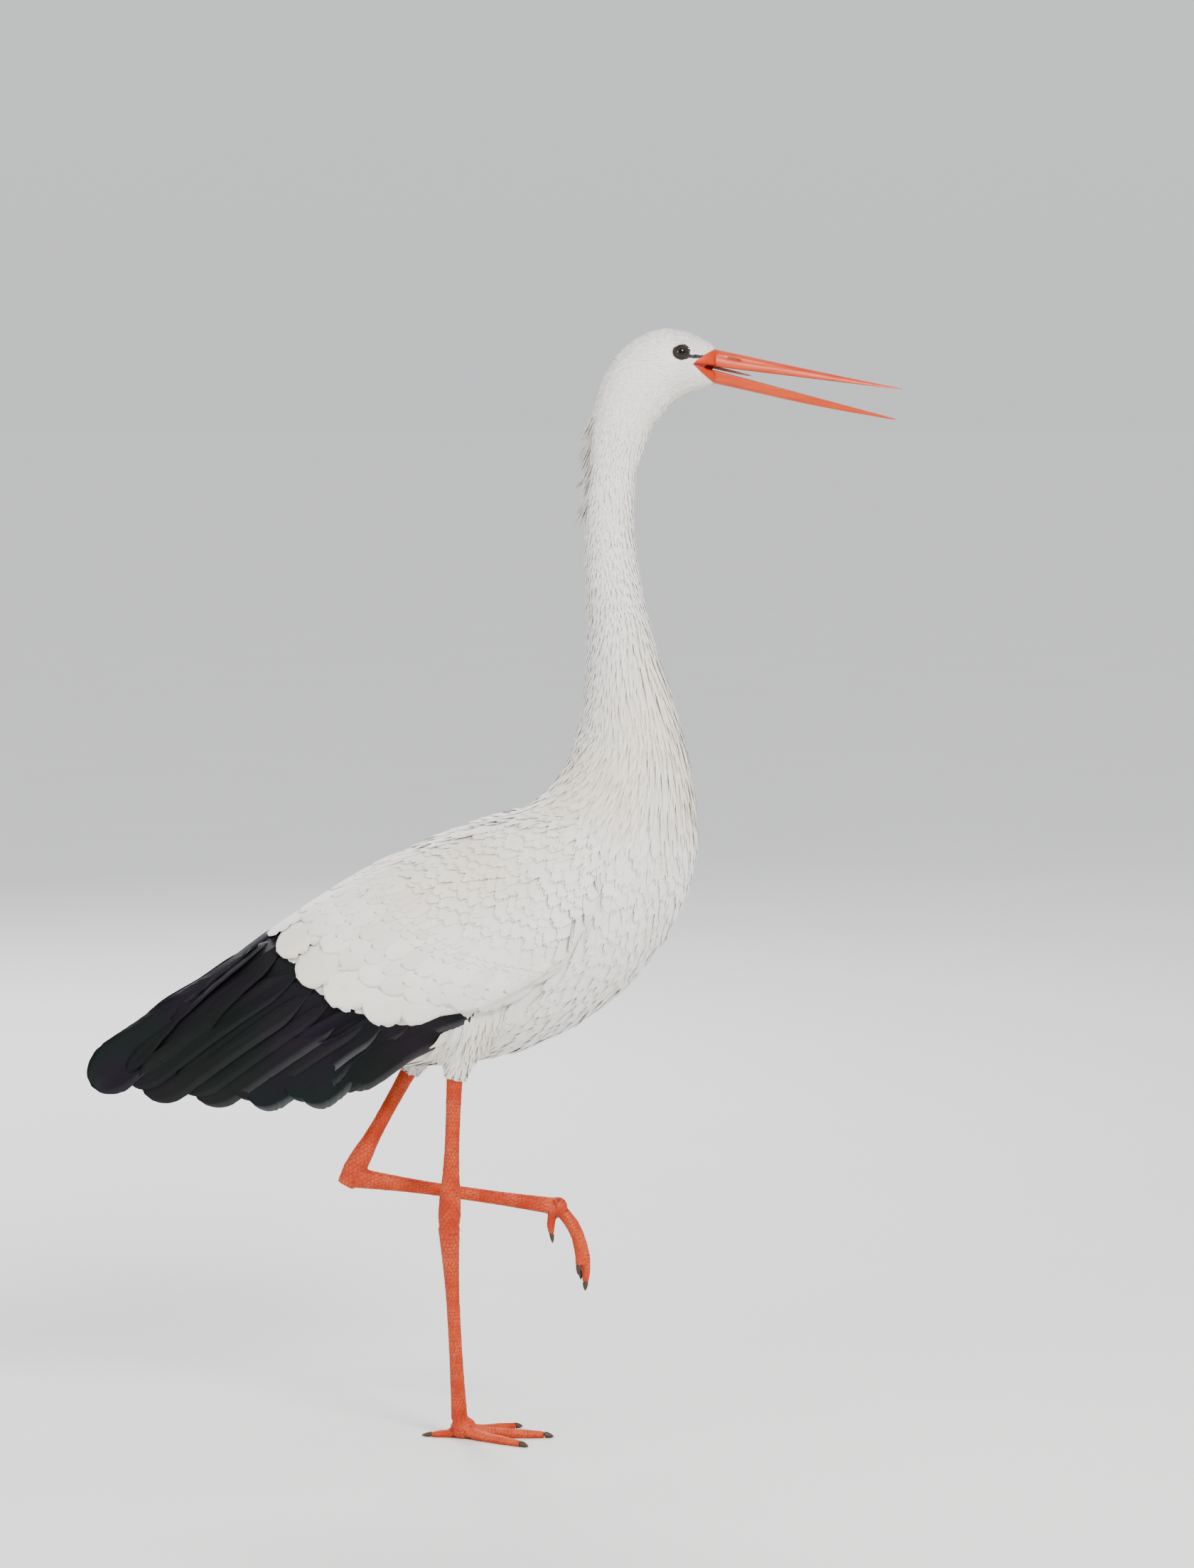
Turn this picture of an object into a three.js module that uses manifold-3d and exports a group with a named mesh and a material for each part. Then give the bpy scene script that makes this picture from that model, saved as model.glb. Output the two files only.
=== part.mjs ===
// A white stork, Ciconia ciconia, life size, standing on its right leg with the left one drawn up
// under the belly, neck raised and bill a little open. The model is still.
//
// Millimetres. +X is the way the bird faces, +Y its left, +Z up. The origin lies under the middle
// of the standing foot, on the ground.
import * as THREE from "three";
import { mergeVertices } from "three/addons/utils/BufferGeometryUtils.js";
import Module from "manifold-3d";

const wasm = await Module();
wasm.setup();

// ---------------------------------------------------------------- driving dimensions

const GAP = 0.35; // between neighbouring solids
const CUT = 0.006; // half the cut between two lengths of the body, in stations

// Body and neck: the coat's outline in side view, from the rump to the root of the bill. A station
// is [back x, back z, front or belly x, front or belly z, half width].
const RUMP = [
  [-162, 432, -164, 386, 24],
  [-132, 467, -134, 364, 44],
  [-78, 518, -82, 354, 64],
];
const BREAST = [
  [-14, 568, -6, 357, 80],
  [34, 588, 60, 369, 85],
  [72, 608, 136, 409, 83],
  [95, 633, 193, 470, 75],
  [107, 662, 224, 542, 61],
];
const NECK = [
  [114, 694, 224, 612, 50],
  [119, 731, 209, 681, 40],
  [119, 776, 187, 750, 32],
  [117, 828, 171, 818, 26.5],
  [118, 882, 166, 882, 23.5],
];
const HEAD = [
  [121, 930, 174, 932, 23],
  [125, 970, 185, 956, 25],
  [138, 1007, 195, 970, 27],
  [161, 1034, 205, 979, 27.5],
  [190, 1046, 216, 985, 25.5],
  [217, 1042, 228, 989, 21],
  [240, 1030, 238, 993, 14],
];
const BODY = [...RUMP, ...BREAST, ...NECK, ...HEAD];
const NECK_AT = RUMP.length + BREAST.length; // station where the neck begins
const HEAD_AT = NECK_AT + NECK.length;

// Inside of the folded wings. It follows the body as far back as the hips, and behind them it is
// the hollow under the flight feathers.
const HOLLOW = [
  [-334, 344, -330, 320, 6],
  [-297, 375, -280, 322, 20],
  [-240, 424, -217, 325, 38],
  [-180, 470, -157, 331, 55],
  [-120, 512, -107, 341, 67],
  [-62, 546, -57, 351, 76],
];
const MANTLE = [...HOLLOW, ...BREAST];
const WING_FRONT = HOLLOW.length + 2.9; // station where the bend of the wing lies
const WING_THICK = [4, 6, 8, 9, 9.5, 10, 10, 10, 8, 3]; // by station, tip to bend
const WING_TOP = [4, 1, 0, 0, 0, 0, 4, 15, 31, 58]; // degrees from the back's midline
const WING_LOW = [165, 148, 138, 131, 124, 118, 114, 111, 103, 80];

const FLIGHT_SLOPE = [40, 27]; // below the horizontal in degrees, from the wing's tip on
const COVERT_SLOPE = [37, 24];
const FEATHER_TIPS = 8; // tips that show along the lower edge of the wing
const FEATHER_RADIUS = 25;
const TIP_LINE = [[-344, 338], [-227, 329], [-112, 347], [2, 420]]; // from the wing's tip on
const COVERT_TIPS = 6; // white coverts that end over the black feathers
const COVERT_RADIUS = 23;
const COVERT_LINE = [[-190, 494], [-146, 447], [-96, 421], [-34, 412]]; // from the back down

const TAIL_ROOT = [-124, 413];
const TAIL_LENGTH = 196;
const TAIL_SLOPE = 25; // degrees below the horizontal
const TAIL_HALF_WIDTH = [19, 33]; // root, end
const TAIL_HALF_THICK = [6, 1.6];
const TAIL_ARCH = 9; // how far its edges hang below its middle

const GAPE = [217, 1013]; // corner of the mouth
const BILL_FROM = 19; // where the horn begins, ahead of the corner of the mouth
const BILL_LENGTH = 180;
const UPPER_SLOPE = 7;
const LOWER_SLOPE = 15;
const UPPER_BILL = [[11.5, 16], [8.8, 12.8], [6.8, 9.6], [5.1, 6.5], [3.4, 3.6], [0.9, 1]];
const LOWER_BILL = [[10.8, 12.5], [8.3, 10.8], [6.3, 9.4], [4.7, 7.4], [3.1, 4.4], [0.8, 1]];
const PALATE = 0.22; // hollow of the bill's inner faces, as a share of the depth
const TROUGH = 0.34;

const EYE_RADIUS = 7.5;
const EYE_AT = [207, 17.4, 1024];

const ANKLE_AT = { right: [-9, -20, 205], left: [-104, 27, 245] };
const KNEE_AT = { right: [16, -50, 446], left: [4, 50, 446] }; // hidden in the body
const SLEEVE_END = { right: [-3, -36, 345], left: [-52, 37, 338] }; // where the thigh's feathers end
const TOE_ROOT = { right: [0, 0, 12], left: [92, 24, 217] };
const TOES = [
  // name, spread in degrees (outwards is positive), length, half width at the root
  ["inner", -34, 62, 6.2],
  ["middle", 2, 80, 6.8],
  ["outer", 33, 69, 6.3],
  ["hind", 184, 27, 5.4],
];
const CLAW_LENGTH = 9;

const WHITE = { color: 0xf1eee6, roughness: 0.8 };
const BLACK = { color: 0x17161a, roughness: 0.45 };
const RED_HORN = { color: 0xc23a1e, roughness: 0.35 };
const RED_SKIN = { color: 0xc4452c, roughness: 0.6 };
const DARK_HORN = { color: 0x2b211d, roughness: 0.5 };
const EYE_BLACK = { color: 0x120d0b, roughness: 0.05 };
const TONGUE_PINK = { color: 0xb5655c, roughness: 0.5 };

// ---------------------------------------------------------------- helpers

const rad = THREE.MathUtils.degToRad;
const lerp = THREE.MathUtils.lerp;
const vec = (x, y, z) => new THREE.Vector3(x, y, z);

/** Catmull-Rom through rows of numbers. at is counted in rows. */
function through(rows, at) {
  const i = Math.min(Math.max(Math.floor(at), 0), rows.length - 2);
  const u = at - i;
  const [a, b, c, d] = [i - 1, i, i + 1, i + 2].map(
    (k) => [rows[Math.min(Math.max(k, 0), rows.length - 1)]].flat(),
  );
  return b.map((_, k) => {
    const [p, q, r, s] = [a[k], b[k], c[k], d[k]];
    return q + 0.5 * u * (r - p + u * (2 * p - 5 * q + 4 * r - s + u * (3 * (q - r) + s - p)));
  });
}

/** Moves each vertex of a geometry to place(x, y, z). */
function shaped(geometry, place) {
  const at = geometry.getAttribute("position");
  for (let i = 0; i < at.count; i++) {
    at.setXYZ(i, ...place(at.getX(i), at.getY(i), at.getZ(i)));
  }
  return geometry;
}

/** A closed tube: ring(t) says where the unit circle goes at t, from 0 to 1 along it. */
function tube(sides, rings, ring) {
  const barrel = new THREE.CylinderGeometry(1, 1, 1, sides, rings);
  return shaped(barrel, (x, y, z) => ring(y + 0.5)(x, z).toArray());
}

/** A point of a body section: across is from -1 to 1, right to left, and up from belly to back. */
function section(row, across, up, grow = 0) {
  const [backX, backZ, frontX, frontZ, half] = row;
  const centre = vec((backX + frontX) / 2, 0, (backZ + frontZ) / 2);
  const rise = vec(backX, 0, backZ).sub(centre);
  rise.setLength(rise.length() + grow);
  return centre.addScaledVector(rise, up).add(vec(0, across * (half + grow), 0));
}

/** A length of the body between two stations. */
function bodyLength(rows, from, to, sides, rings, grow = 0) {
  return tube(sides, rings, (t) => {
    const row = through(rows, lerp(from, to, t));
    return (x, z) => section(row, -x, z, grow);
  });
}

/** A limb along a curve, with half sizes across and fore and aft at each of its steps. */
function limb(curve, sizes, sides, rings, { grow = 0, side = vec(0, 1, 0) } = {}) {
  return tube(sides, rings, (t) => {
    const [halfAcross, halfDeep] = through(sizes, t * (sizes.length - 1));
    const along = curve.getTangent(t);
    const across = side.clone().addScaledVector(along, -side.dot(along)).normalize();
    const deep = new THREE.Vector3().crossVectors(across, along);
    return (x, z) =>
      curve
        .getPoint(t)
        .addScaledVector(along, grow * (2 * t - 1))
        .addScaledVector(across, x * (halfAcross + grow))
        .addScaledVector(deep, z * (halfDeep + grow));
  });
}

const curveOf = (...points) => new THREE.CatmullRomCurve3(points.map((p) => vec(...p)));

/** A geometry as a manifold-3d solid. */
function solid(geometry) {
  const bare = geometry.clone();
  bare.deleteAttribute("normal");
  bare.deleteAttribute("uv");
  const merged = mergeVertices(bare, 1e-4);
  return new wasm.Manifold(
    new wasm.Mesh({
      numProp: 3,
      vertProperties: new Float32Array(merged.getAttribute("position").array),
      triVerts: new Uint32Array(merged.index.array),
    }),
  );
}

/** A manifold-3d solid as a geometry. */
function geometryOf(made) {
  const { vertProperties, triVerts, numProp } = made.getMesh();
  const geometry = new THREE.BufferGeometry();
  geometry.setAttribute("position", new THREE.BufferAttribute(vertProperties, numProp));
  geometry.setIndex(new THREE.BufferAttribute(triVerts, 1));
  geometry.computeVertexNormals();
  return geometry;
}

/** The largest body of a solid: what a cut leaves once its crumbs are gone. */
const largest = (made) => made.decompose().reduce((a, b) => (b.volume() > a.volume() ? b : a));

const stork = new THREE.Group();

function place(name, shape, finish) {
  const geometry = shape.isBufferGeometry ? shape : geometryOf(shape);
  const mesh = new THREE.Mesh(geometry, new THREE.MeshStandardMaterial(finish));
  mesh.name = name;
  stork.add(mesh);
  return mesh;
}

/** A plate in side view, as thick as the bird is wide, from a closed outline of [x, z] points. */
function plate(shape, from, to) {
  const made = new THREE.ExtrudeGeometry(shape, {
    depth: to - from,
    bevelEnabled: false,
    curveSegments: 5,
  });
  // the outline's plane turns from XY to XZ, and the depth then runs along -Y
  return solid(made.rotateX(Math.PI / 2).translate(0, to, 0));
}

/** A feather's outline in side view: a strip with a round tip, running back up the slope. */
function vane(tip, radius, length, slope) {
  const shape = new THREE.Shape();
  const back = rad(slope);
  const forward = vec(Math.cos(back), Math.sin(back), 0);
  const side = vec(-forward.y, forward.x, 0);
  const heart = vec(tip[0], tip[1], 0).addScaledVector(forward, radius);
  const end = heart.clone().addScaledVector(forward, length);
  shape.moveTo(end.x + side.x * radius, end.y + side.y * radius);
  shape.lineTo(heart.x + side.x * radius, heart.y + side.y * radius);
  shape.absarc(heart.x, heart.y, radius, back + Math.PI / 2, back + 1.5 * Math.PI, false);
  shape.lineTo(end.x - side.x * radius, end.y - side.y * radius);
  return shape;
}

// ---------------------------------------------------------------- head, neck and trunk

function bill(slope, sizes, hollow, up, grow = 0) {
  const forward = vec(Math.cos(rad(slope)), 0, -Math.sin(rad(slope)));
  const rise = vec(-forward.z, 0, forward.x).multiplyScalar(up);
  const root = vec(GAPE[0], 0, GAPE[1]).addScaledVector(forward, BILL_FROM - grow);
  return tube(14, 8, (t) => {
    const [halfWidth, depth] = through(sizes, t * (sizes.length - 1));
    const half = halfWidth + grow;
    const tall = depth + 2 * grow;
    const centre = root
      .clone()
      .addScaledVector(forward, BILL_LENGTH * t)
      .addScaledVector(rise, -grow);
    return (x, z) => {
      let height = z * up > 0 ? tall * Math.abs(z) ** 0.85 : hollow * (tall - 2 * grow) * z ** 2;
      if (x === 0 && z === 0) height = 0.6 * tall; // the middle of an end, inside the horn
      return centre
        .clone()
        .addScaledVector(rise, height)
        .add(vec(0, -half * x, 0));
    };
  });
}

function tongue(grow = 0) {
  const slope = rad(LOWER_SLOPE - 2);
  const root = vec(GAPE[0] + 14, 0, GAPE[1] - 1.6);
  const tip = root.clone().add(vec(44 * Math.cos(slope), 0, -44 * Math.sin(slope)));
  const curve = new THREE.LineCurve3(root, tip);
  return limb(curve, [[3.2, 1.2], [4.2, 1.4], [3.4, 1.1], [0.8, 0.5]], 10, 5, { grow });
}

const eyeBall = (side, grow) =>
  new THREE.SphereGeometry(EYE_RADIUS + grow, 12, 8).translate(
    EYE_AT[0],
    side * EYE_AT[1],
    EYE_AT[2],
  );

/** The wedge between the jaws, cut into the cheeks as far as the corner of the mouth. */
function mouth() {
  const shape = new THREE.Shape();
  const reach = BILL_FROM + 8;
  shape.moveTo(GAPE[0], GAPE[1]);
  for (const slope of [LOWER_SLOPE + 3, UPPER_SLOPE - 2]) {
    const turn = rad(slope);
    shape.lineTo(GAPE[0] + reach * Math.cos(turn), GAPE[1] - reach * Math.sin(turn));
  }
  return plate(shape, -30, 30);
}

function headSolid() {
  const last = BODY.length - 1;
  return solid(bodyLength(BODY, HEAD_AT + CUT, last, 20, 10))
    .subtract(mouth())
    .subtract(solid(bill(UPPER_SLOPE, UPPER_BILL, 0, 1, GAP)))
    .subtract(solid(bill(LOWER_SLOPE, LOWER_BILL, 0, -1, GAP)))
    .subtract(solid(tongue(GAP)))
    .subtract(solid(eyeBall(1, GAP)))
    .subtract(solid(eyeBall(-1, GAP)));
}

place("head", headSolid(), WHITE);
place("upper_bill", bill(UPPER_SLOPE, UPPER_BILL, PALATE, 1), RED_HORN);
place("lower_bill", bill(LOWER_SLOPE, LOWER_BILL, TROUGH, -1), RED_HORN);
place("tongue", tongue(), TONGUE_PINK);
place("right_eye", eyeBall(-1, 0), EYE_BLACK);
place("left_eye", eyeBall(1, 0), EYE_BLACK);

const NECK_CUTS = [NECK_AT, NECK_AT + 1.8, NECK_AT + 3.4, HEAD_AT];
["neck_lower", "neck_middle", "neck_upper"].forEach((name, i) => {
  const [from, to] = [NECK_CUTS[i] + CUT, NECK_CUTS[i + 1] - CUT];
  place(name, bodyLength(BODY, from, to, 20, 4), WHITE);
});

const trunkShape = (grow) => bodyLength(BODY, 0, NECK_AT - CUT, 24, 12, grow);

// ---------------------------------------------------------------- tail

/** The tail: a fan of closed feathers, arched from side to side and round at its end. */
function tail(grow) {
  const down = rad(TAIL_SLOPE);
  const along = vec(-Math.cos(down), 0, -Math.sin(down));
  const up = vec(along.z, 0, -along.x);
  const slab = new THREE.BoxGeometry(1, 1, 1, 8, 8, 1);
  return shaped(slab, (x, y, z) => {
    const across = 2 * y;
    const t = 0.5 - x;
    const half = lerp(...TAIL_HALF_WIDTH, t ** 0.8) + grow;
    const thick = lerp(...TAIL_HALF_THICK, t) * Math.sqrt(1.15 - across ** 2) + grow;
    const round = 1 - 0.09 * across ** 2 * t;
    const end = grow * (2 * t - 1);
    return vec(TAIL_ROOT[0], 0, TAIL_ROOT[1])
      .addScaledVector(along, TAIL_LENGTH * t * round + end)
      .addScaledVector(up, 2 * z * thick - TAIL_ARCH * across ** 2 * t ** 0.7)
      .add(vec(0, half * across, 0))
      .toArray();
  });
}

// ---------------------------------------------------------------- wings

/** The whole folded wing as a curved slab on the mantle, before its feathers part it. */
function wingSlab(side, grow = 0) {
  const slab = new THREE.BoxGeometry(1, 1, 1, 16, 6, 1);
  return solid(
    shaped(slab, (x, y, z) => {
      const at = (side < 0 ? x + 0.5 : 0.5 - x) * WING_FRONT;
      const wider = grow * 2 * (0.5 - y); // degrees
      const degrees = wider + lerp(through(WING_LOW, at)[0], through(WING_TOP, at)[0], y + 0.5);
      const turn = rad(Math.max(degrees, 0));
      const out = GAP - grow + (z + 0.5) * (through(WING_THICK, at)[0] + 2 * grow);
      const point = section(through(MANTLE, at), side * Math.sin(turn), Math.cos(turn), out);
      point.y = side * Math.max(side * point.y, (y + 0.5) * (GAP / 2));
      return point.toArray();
    }),
  );
}

/** Strips with round tips, their tips spread along a line. */
function vanes(line, count, radius, length, slopes, from, to) {
  let joined = null;
  for (let i = 0; i < count; i++) {
    const t = i / (count - 1);
    const tip = through(line, t * (line.length - 1));
    const strip = plate(vane(tip, radius, length, lerp(...slopes, t)), from, to);
    joined = joined ? joined.add(strip) : strip;
  }
  return joined;
}

/** Plates in side view that part a wing into its white coverts and its black flight feathers. */
function wingVanes(side) {
  const [from, to] = side < 0 ? [-160, 5] : [-5, 160];
  return {
    coverts: (grow) =>
      vanes(COVERT_LINE, COVERT_TIPS, COVERT_RADIUS + grow, 420, COVERT_SLOPE, from, to),
    flight: (grow) =>
      vanes(TIP_LINE, FEATHER_TIPS, FEATHER_RADIUS + grow, 330, FLIGHT_SLOPE, from, to),
  };
}

function wing(side) {
  const { coverts, flight } = wingVanes(side);
  const shell = wingSlab(side)
    .subtract(solid(trunkShape(GAP)))
    .subtract(solid(tail(GAP)));
  return {
    coverts: shell.intersect(coverts(0)),
    flight: largest(shell.subtract(coverts(GAP)).intersect(flight(0))),
  };
}

/** The space one wing fills, with room round it, for what lies under its edge. */
function wingRoom(side) {
  const { coverts, flight } = wingVanes(side);
  return wingSlab(side, GAP).intersect(coverts(GAP).add(flight(GAP)));
}

// ---------------------------------------------------------------- legs

const SHANK_SIZES = [[6.6, 7.6], [6, 6.9], [5.8, 6.6], [6, 6.8], [7.2, 8.2], [9.4, 10.8], [7, 8]];
const TARSUS_SIZES = [[8.6, 10], [6.2, 7.8], [5.3, 6.3], [5.1, 6], [5.2, 6.1], [5.8, 6.6], [8, 7.6]];
const THIGH_SIZES = [[36, 46], [33, 41], [25, 29], [17, 18.5], [10.5, 11.5]];
const SHANK_IN_SLEEVE = 12; // how far the shank runs up inside the thigh's feathers
const ANKLE_ROUND = 9; // how far the ankle's knob reaches past its middle

function pointBetween(a, b, t) {
  return vec(...a).lerp(vec(...b), t);
}

function thigh(which, grow = 0) {
  const curve = new THREE.LineCurve3(vec(...KNEE_AT[which]), vec(...SLEEVE_END[which]));
  return limb(curve, THIGH_SIZES, 16, 7, { grow });
}

function shank(which, grow = 0) {
  const [end, ankle] = [SLEEVE_END[which], ANKLE_AT[which]];
  const length = vec(...end).distanceTo(vec(...ankle));
  const start = pointBetween(end, ankle, -SHANK_IN_SLEEVE / length);
  const heel = pointBetween(end, ankle, 1 + ANKLE_ROUND / length);
  return limb(new THREE.LineCurve3(start, heel), SHANK_SIZES, 10, 8, { grow });
}

function tarsus(which, grow = 0) {
  const [ankle, foot] = [ANKLE_AT[which], TOE_ROOT[which]];
  const length = vec(...ankle).distanceTo(vec(...foot));
  const end = pointBetween(ankle, foot, 1 - 6 / length);
  return limb(new THREE.LineCurve3(vec(...ankle), end), TARSUS_SIZES, 10, 8, { grow });
}

/** A toe's curve: standing, it lies flat; drawn up, it droops in an arc from the tarsus. */
function toeCurve(which, spread, length) {
  const outwards = which === "right" ? -1 : 1;
  const hind = Math.abs(spread) > 90;
  const yaw = rad(which === "right" || hind ? spread : spread * 0.36) * outwards;
  const steps = 6;
  const at = vec(...TOE_ROOT[which]);
  const points = [];
  for (let i = 0; i <= steps; i++) {
    const t = i / steps;
    let pitch = 0;
    if (which === "left") pitch = hind ? rad(lerp(60, 105, t)) : rad(lerp(-46, -102, t));
    points.push(at.clone());
    const step = vec(Math.cos(yaw) * Math.cos(pitch), Math.sin(yaw) * Math.cos(pitch), Math.sin(pitch));
    if (which === "left" && hind) step.z = -step.z;
    at.addScaledVector(step, length / steps);
  }
  return new THREE.CatmullRomCurve3(points);
}

/** Presses what would reach below the ground flat onto it. */
const onGround = (geometry) => shaped(geometry, (x, y, z) => [x, y, Math.max(z, 0)]);

function toeShape(which, [, spread, length, half], grow = 0) {
  const curve = toeCurve(which, spread, length);
  const standing = which === "right";
  const bulge = (t) => 1 + 0.08 * Math.sin(3 * 2 * Math.PI * t); // pads under the joints
  const sizes = [0, 0.2, 0.4, 0.6, 0.8, 0.93, 1].map((t) => {
    const taper = lerp(1, 0.66, t) * bulge(t) * (t === 1 ? 0.72 : 1);
    return [half * taper, half * 0.92 * taper];
  });
  const side = vec(-Math.sin(rad(spread)), Math.cos(rad(spread)), 0);
  if (standing) side.x = -side.x;
  const across = standing ? side : vec(0, 1, 0);
  const geometry = limb(curve, sizes, 8, 7, { grow, side: across });
  if (!standing) return geometry;
  // a standing toe slopes down from the root until its underside is on the ground
  const sink = 1.2;
  const middle = TOE_ROOT.right[2];
  return onGround(
    shaped(geometry, (x, y, z) => {
      const far = Math.min(Math.hypot(x, y) / length, 1);
      const height = half * 0.92 * lerp(1, 0.66, far) - sink;
      return [x, y, z - middle + lerp(middle * 0.75, height, Math.min(far / 0.35, 1))];
    }),
  );
}

function claw(which, [, spread, length, half]) {
  const curve = toeCurve(which, spread, length);
  const along = curve.getTangent(1);
  const start = curve.getPoint(1).addScaledVector(along, GAP);
  const standing = which === "right";
  if (standing) start.z = half * 0.5;
  const tip = start.clone().addScaledVector(along, CLAW_LENGTH);
  if (standing) tip.z = 1.4;
  const sizes = [[half * 0.5, half * 0.42], [half * 0.46, half * 0.36], [half * 0.16, 0.45]];
  const side = standing ? vec(-along.y, along.x, 0) : vec(0, 1, 0);
  const geometry = limb(new THREE.LineCurve3(start, tip), sizes, 6, 3, { side });
  return standing ? onGround(geometry) : geometry;
}

/** The ball of the foot, with the small webs between its front toes. */
function ball(which, grow = 0) {
  const heart = new THREE.SphereGeometry(1, 10, 7).rotateX(Math.PI / 2).rotateZ(Math.PI / 10);
  if (which === "right") {
    return onGround(
      shaped(heart, (x, y, z) => [x * (12.5 + grow) + 3.4, y * (12 + grow), 9 + z * (10.5 + grow)]),
    );
  }
  const [cx, cy, cz] = TOE_ROOT.left;
  return shaped(heart, (x, y, z) => [cx + x * (10 + grow), cy + y * (10 + grow), cz + z * (9 + grow)]);
}

function leg(which, side) {
  const ballCut = solid(ball(which, GAP));
  const shankCut = solid(shank(which, GAP));
  const thighShape = solid(thigh(which))
    .subtract(solid(trunkShape(GAP)))
    .subtract(wingRoom(side))
    .subtract(shankCut);
  place(`${which}_thigh`, largest(thighShape), WHITE);
  place(`${which}_shank`, shank(which), RED_SKIN);
  place(`${which}_tarsus`, solid(tarsus(which)).subtract(shankCut).subtract(ballCut), RED_SKIN);
  place(`${which}_foot`, ball(which), RED_SKIN);
  let taken = ballCut.add(solid(tarsus(which, GAP)));
  for (const toe of TOES) {
    const grown = solid(toeShape(which, toe, GAP));
    place(`${which}_toe_${toe[0]}`, solid(toeShape(which, toe)).subtract(taken), RED_SKIN);
    place(`${which}_claw_${toe[0]}`, solid(claw(which, toe)).subtract(grown), DARK_HORN);
    taken = taken.add(grown);
  }
}

// ---------------------------------------------------------------- the whole bird

place("trunk", trunkShape(0), WHITE);
place("tail", solid(tail(0)).subtract(solid(trunkShape(GAP))), WHITE);
for (const [which, side] of [["right", -1], ["left", 1]]) {
  const { coverts, flight } = wing(side);
  place(`${which}_wing`, coverts, WHITE);
  place(`${which}_flight_feathers`, flight, BLACK);
  leg(which, side);
}

export default stork;
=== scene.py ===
"""A white stork, life size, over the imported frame: one skin with fine-scaled legs, a horn bill, wet
eyes, and a coat of mesh feathers. Lengths are millimetres until a mesh is made, which is in metres.
"""

import math
from itertools import product

import bmesh
import bpy
import numpy as np
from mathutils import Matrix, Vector
from mathutils.bvhtree import BVHTree
from mathutils.kdtree import KDTree


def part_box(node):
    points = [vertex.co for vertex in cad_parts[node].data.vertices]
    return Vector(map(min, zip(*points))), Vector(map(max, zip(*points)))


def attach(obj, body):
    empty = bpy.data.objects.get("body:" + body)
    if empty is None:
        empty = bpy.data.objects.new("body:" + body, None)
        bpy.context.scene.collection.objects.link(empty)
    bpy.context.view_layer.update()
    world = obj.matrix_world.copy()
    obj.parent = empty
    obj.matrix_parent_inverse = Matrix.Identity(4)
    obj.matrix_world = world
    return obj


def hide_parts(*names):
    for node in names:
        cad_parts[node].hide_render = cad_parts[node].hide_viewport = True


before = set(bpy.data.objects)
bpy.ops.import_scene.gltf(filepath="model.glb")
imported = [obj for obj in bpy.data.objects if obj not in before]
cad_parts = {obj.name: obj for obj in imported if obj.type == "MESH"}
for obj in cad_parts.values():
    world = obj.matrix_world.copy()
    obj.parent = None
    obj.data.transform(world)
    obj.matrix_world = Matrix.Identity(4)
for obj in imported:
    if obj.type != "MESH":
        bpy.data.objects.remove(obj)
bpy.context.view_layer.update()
MM = 0.001
rng = np.random.default_rng(11)

# ---- arrays


def unit(v):
    return v / np.maximum(np.linalg.norm(v, axis=-1, keepdims=True), 1e-9)


def step(low, high, x):
    """0 below low, 1 above high, smooth between."""
    t = np.clip((np.asarray(x, float) - low) / (high - low), 0, 1)
    return t * t * (3 - 2 * t)


def fall(low, high, x):
    """1 below low, 0 above high, smooth between."""
    return 1 - step(low, high, x)


def hump(x, middle, width):
    """1 at the middle, and 0 well away from it."""
    return np.exp(-(((x - middle) / width) ** 2))


def mix(a, b, t):
    return a + (b - a) * t


def layered(value, *layers):
    """A value with others laid over it in turn, each by its share."""
    for then, share in layers:
        value = mix(value, then, share)
    return value


def flattened(way, normals):
    """Directions turned to lie along a surface."""
    return unit(way - normals * (way * normals).sum(1, keepdims=True))


def hashed(i, j, k=0):
    """A repeatable number from 0 to 1 for each pair of whole numbers."""
    x = np.sin(i * 127.1 + j * 311.7 + k * 74.7) * 43758.5453
    return x - np.floor(x)


def through(rows, t):
    """The value at t, from 0 to 1, on a smooth line through evenly spaced rows."""
    rows = np.asarray(rows, float)
    at = np.clip(np.asarray(t) * (len(rows) - 1), 0, len(rows) - 1 - 1e-6)
    i = at.astype(int)
    f = (at - i)[..., None] if rows.ndim > 1 else at - i
    padded = np.concatenate([rows[:1] * 2 - rows[1:2], rows, rows[-1:] * 2 - rows[-2:-1]])
    a, b, c, d = (padded[i + k] for k in range(4))
    return 0.5 * (
        2 * b + (c - a) * f + (2 * a - 5 * b + 4 * c - d) * f**2 + (3 * b - a - 3 * c + d) * f**3
    )


# ---- meshes, as points and triangles


def gathered(parts):
    """Several meshes as one."""
    starts = np.cumsum([0, *(len(points) for points, _ in parts)])
    faces = [f + at for (_, f), at in zip(parts, starts)]
    return np.concatenate([points for points, _ in parts]), np.concatenate(faces)


def quads_of(grid):
    """The four corners of each cell in a grid of point numbers."""
    return grid[:-1, :-1], grid[1:, :-1], grid[1:, 1:], grid[:-1, 1:]


def split(a, b, c, d):
    """Two triangles for each quad."""
    return np.concatenate([np.stack(s, -1).reshape(-1, 3) for s in ((a, b, c), (a, c, d))])


def repeated(faces, times, points_each):
    """The faces of one body, for as many bodies as times."""
    return (faces[None] + points_each * np.arange(times)[:, None, None]).reshape(-1, 3)


def edges_of(faces):
    return np.concatenate([faces[:, [0, 1]], faces[:, [1, 2]], faces[:, [2, 0]]])


def face_normals(points, faces):
    """The normal of each face, twice its area long."""
    a, b, c = (points[faces[:, k]] for k in range(3))
    return np.cross(b - a, c - a)


def normals_of(points, faces):
    flat = face_normals(points, faces)
    total = np.zeros_like(points)
    for k in range(3):
        np.add.at(total, faces[:, k], flat)
    return unit(total)


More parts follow.
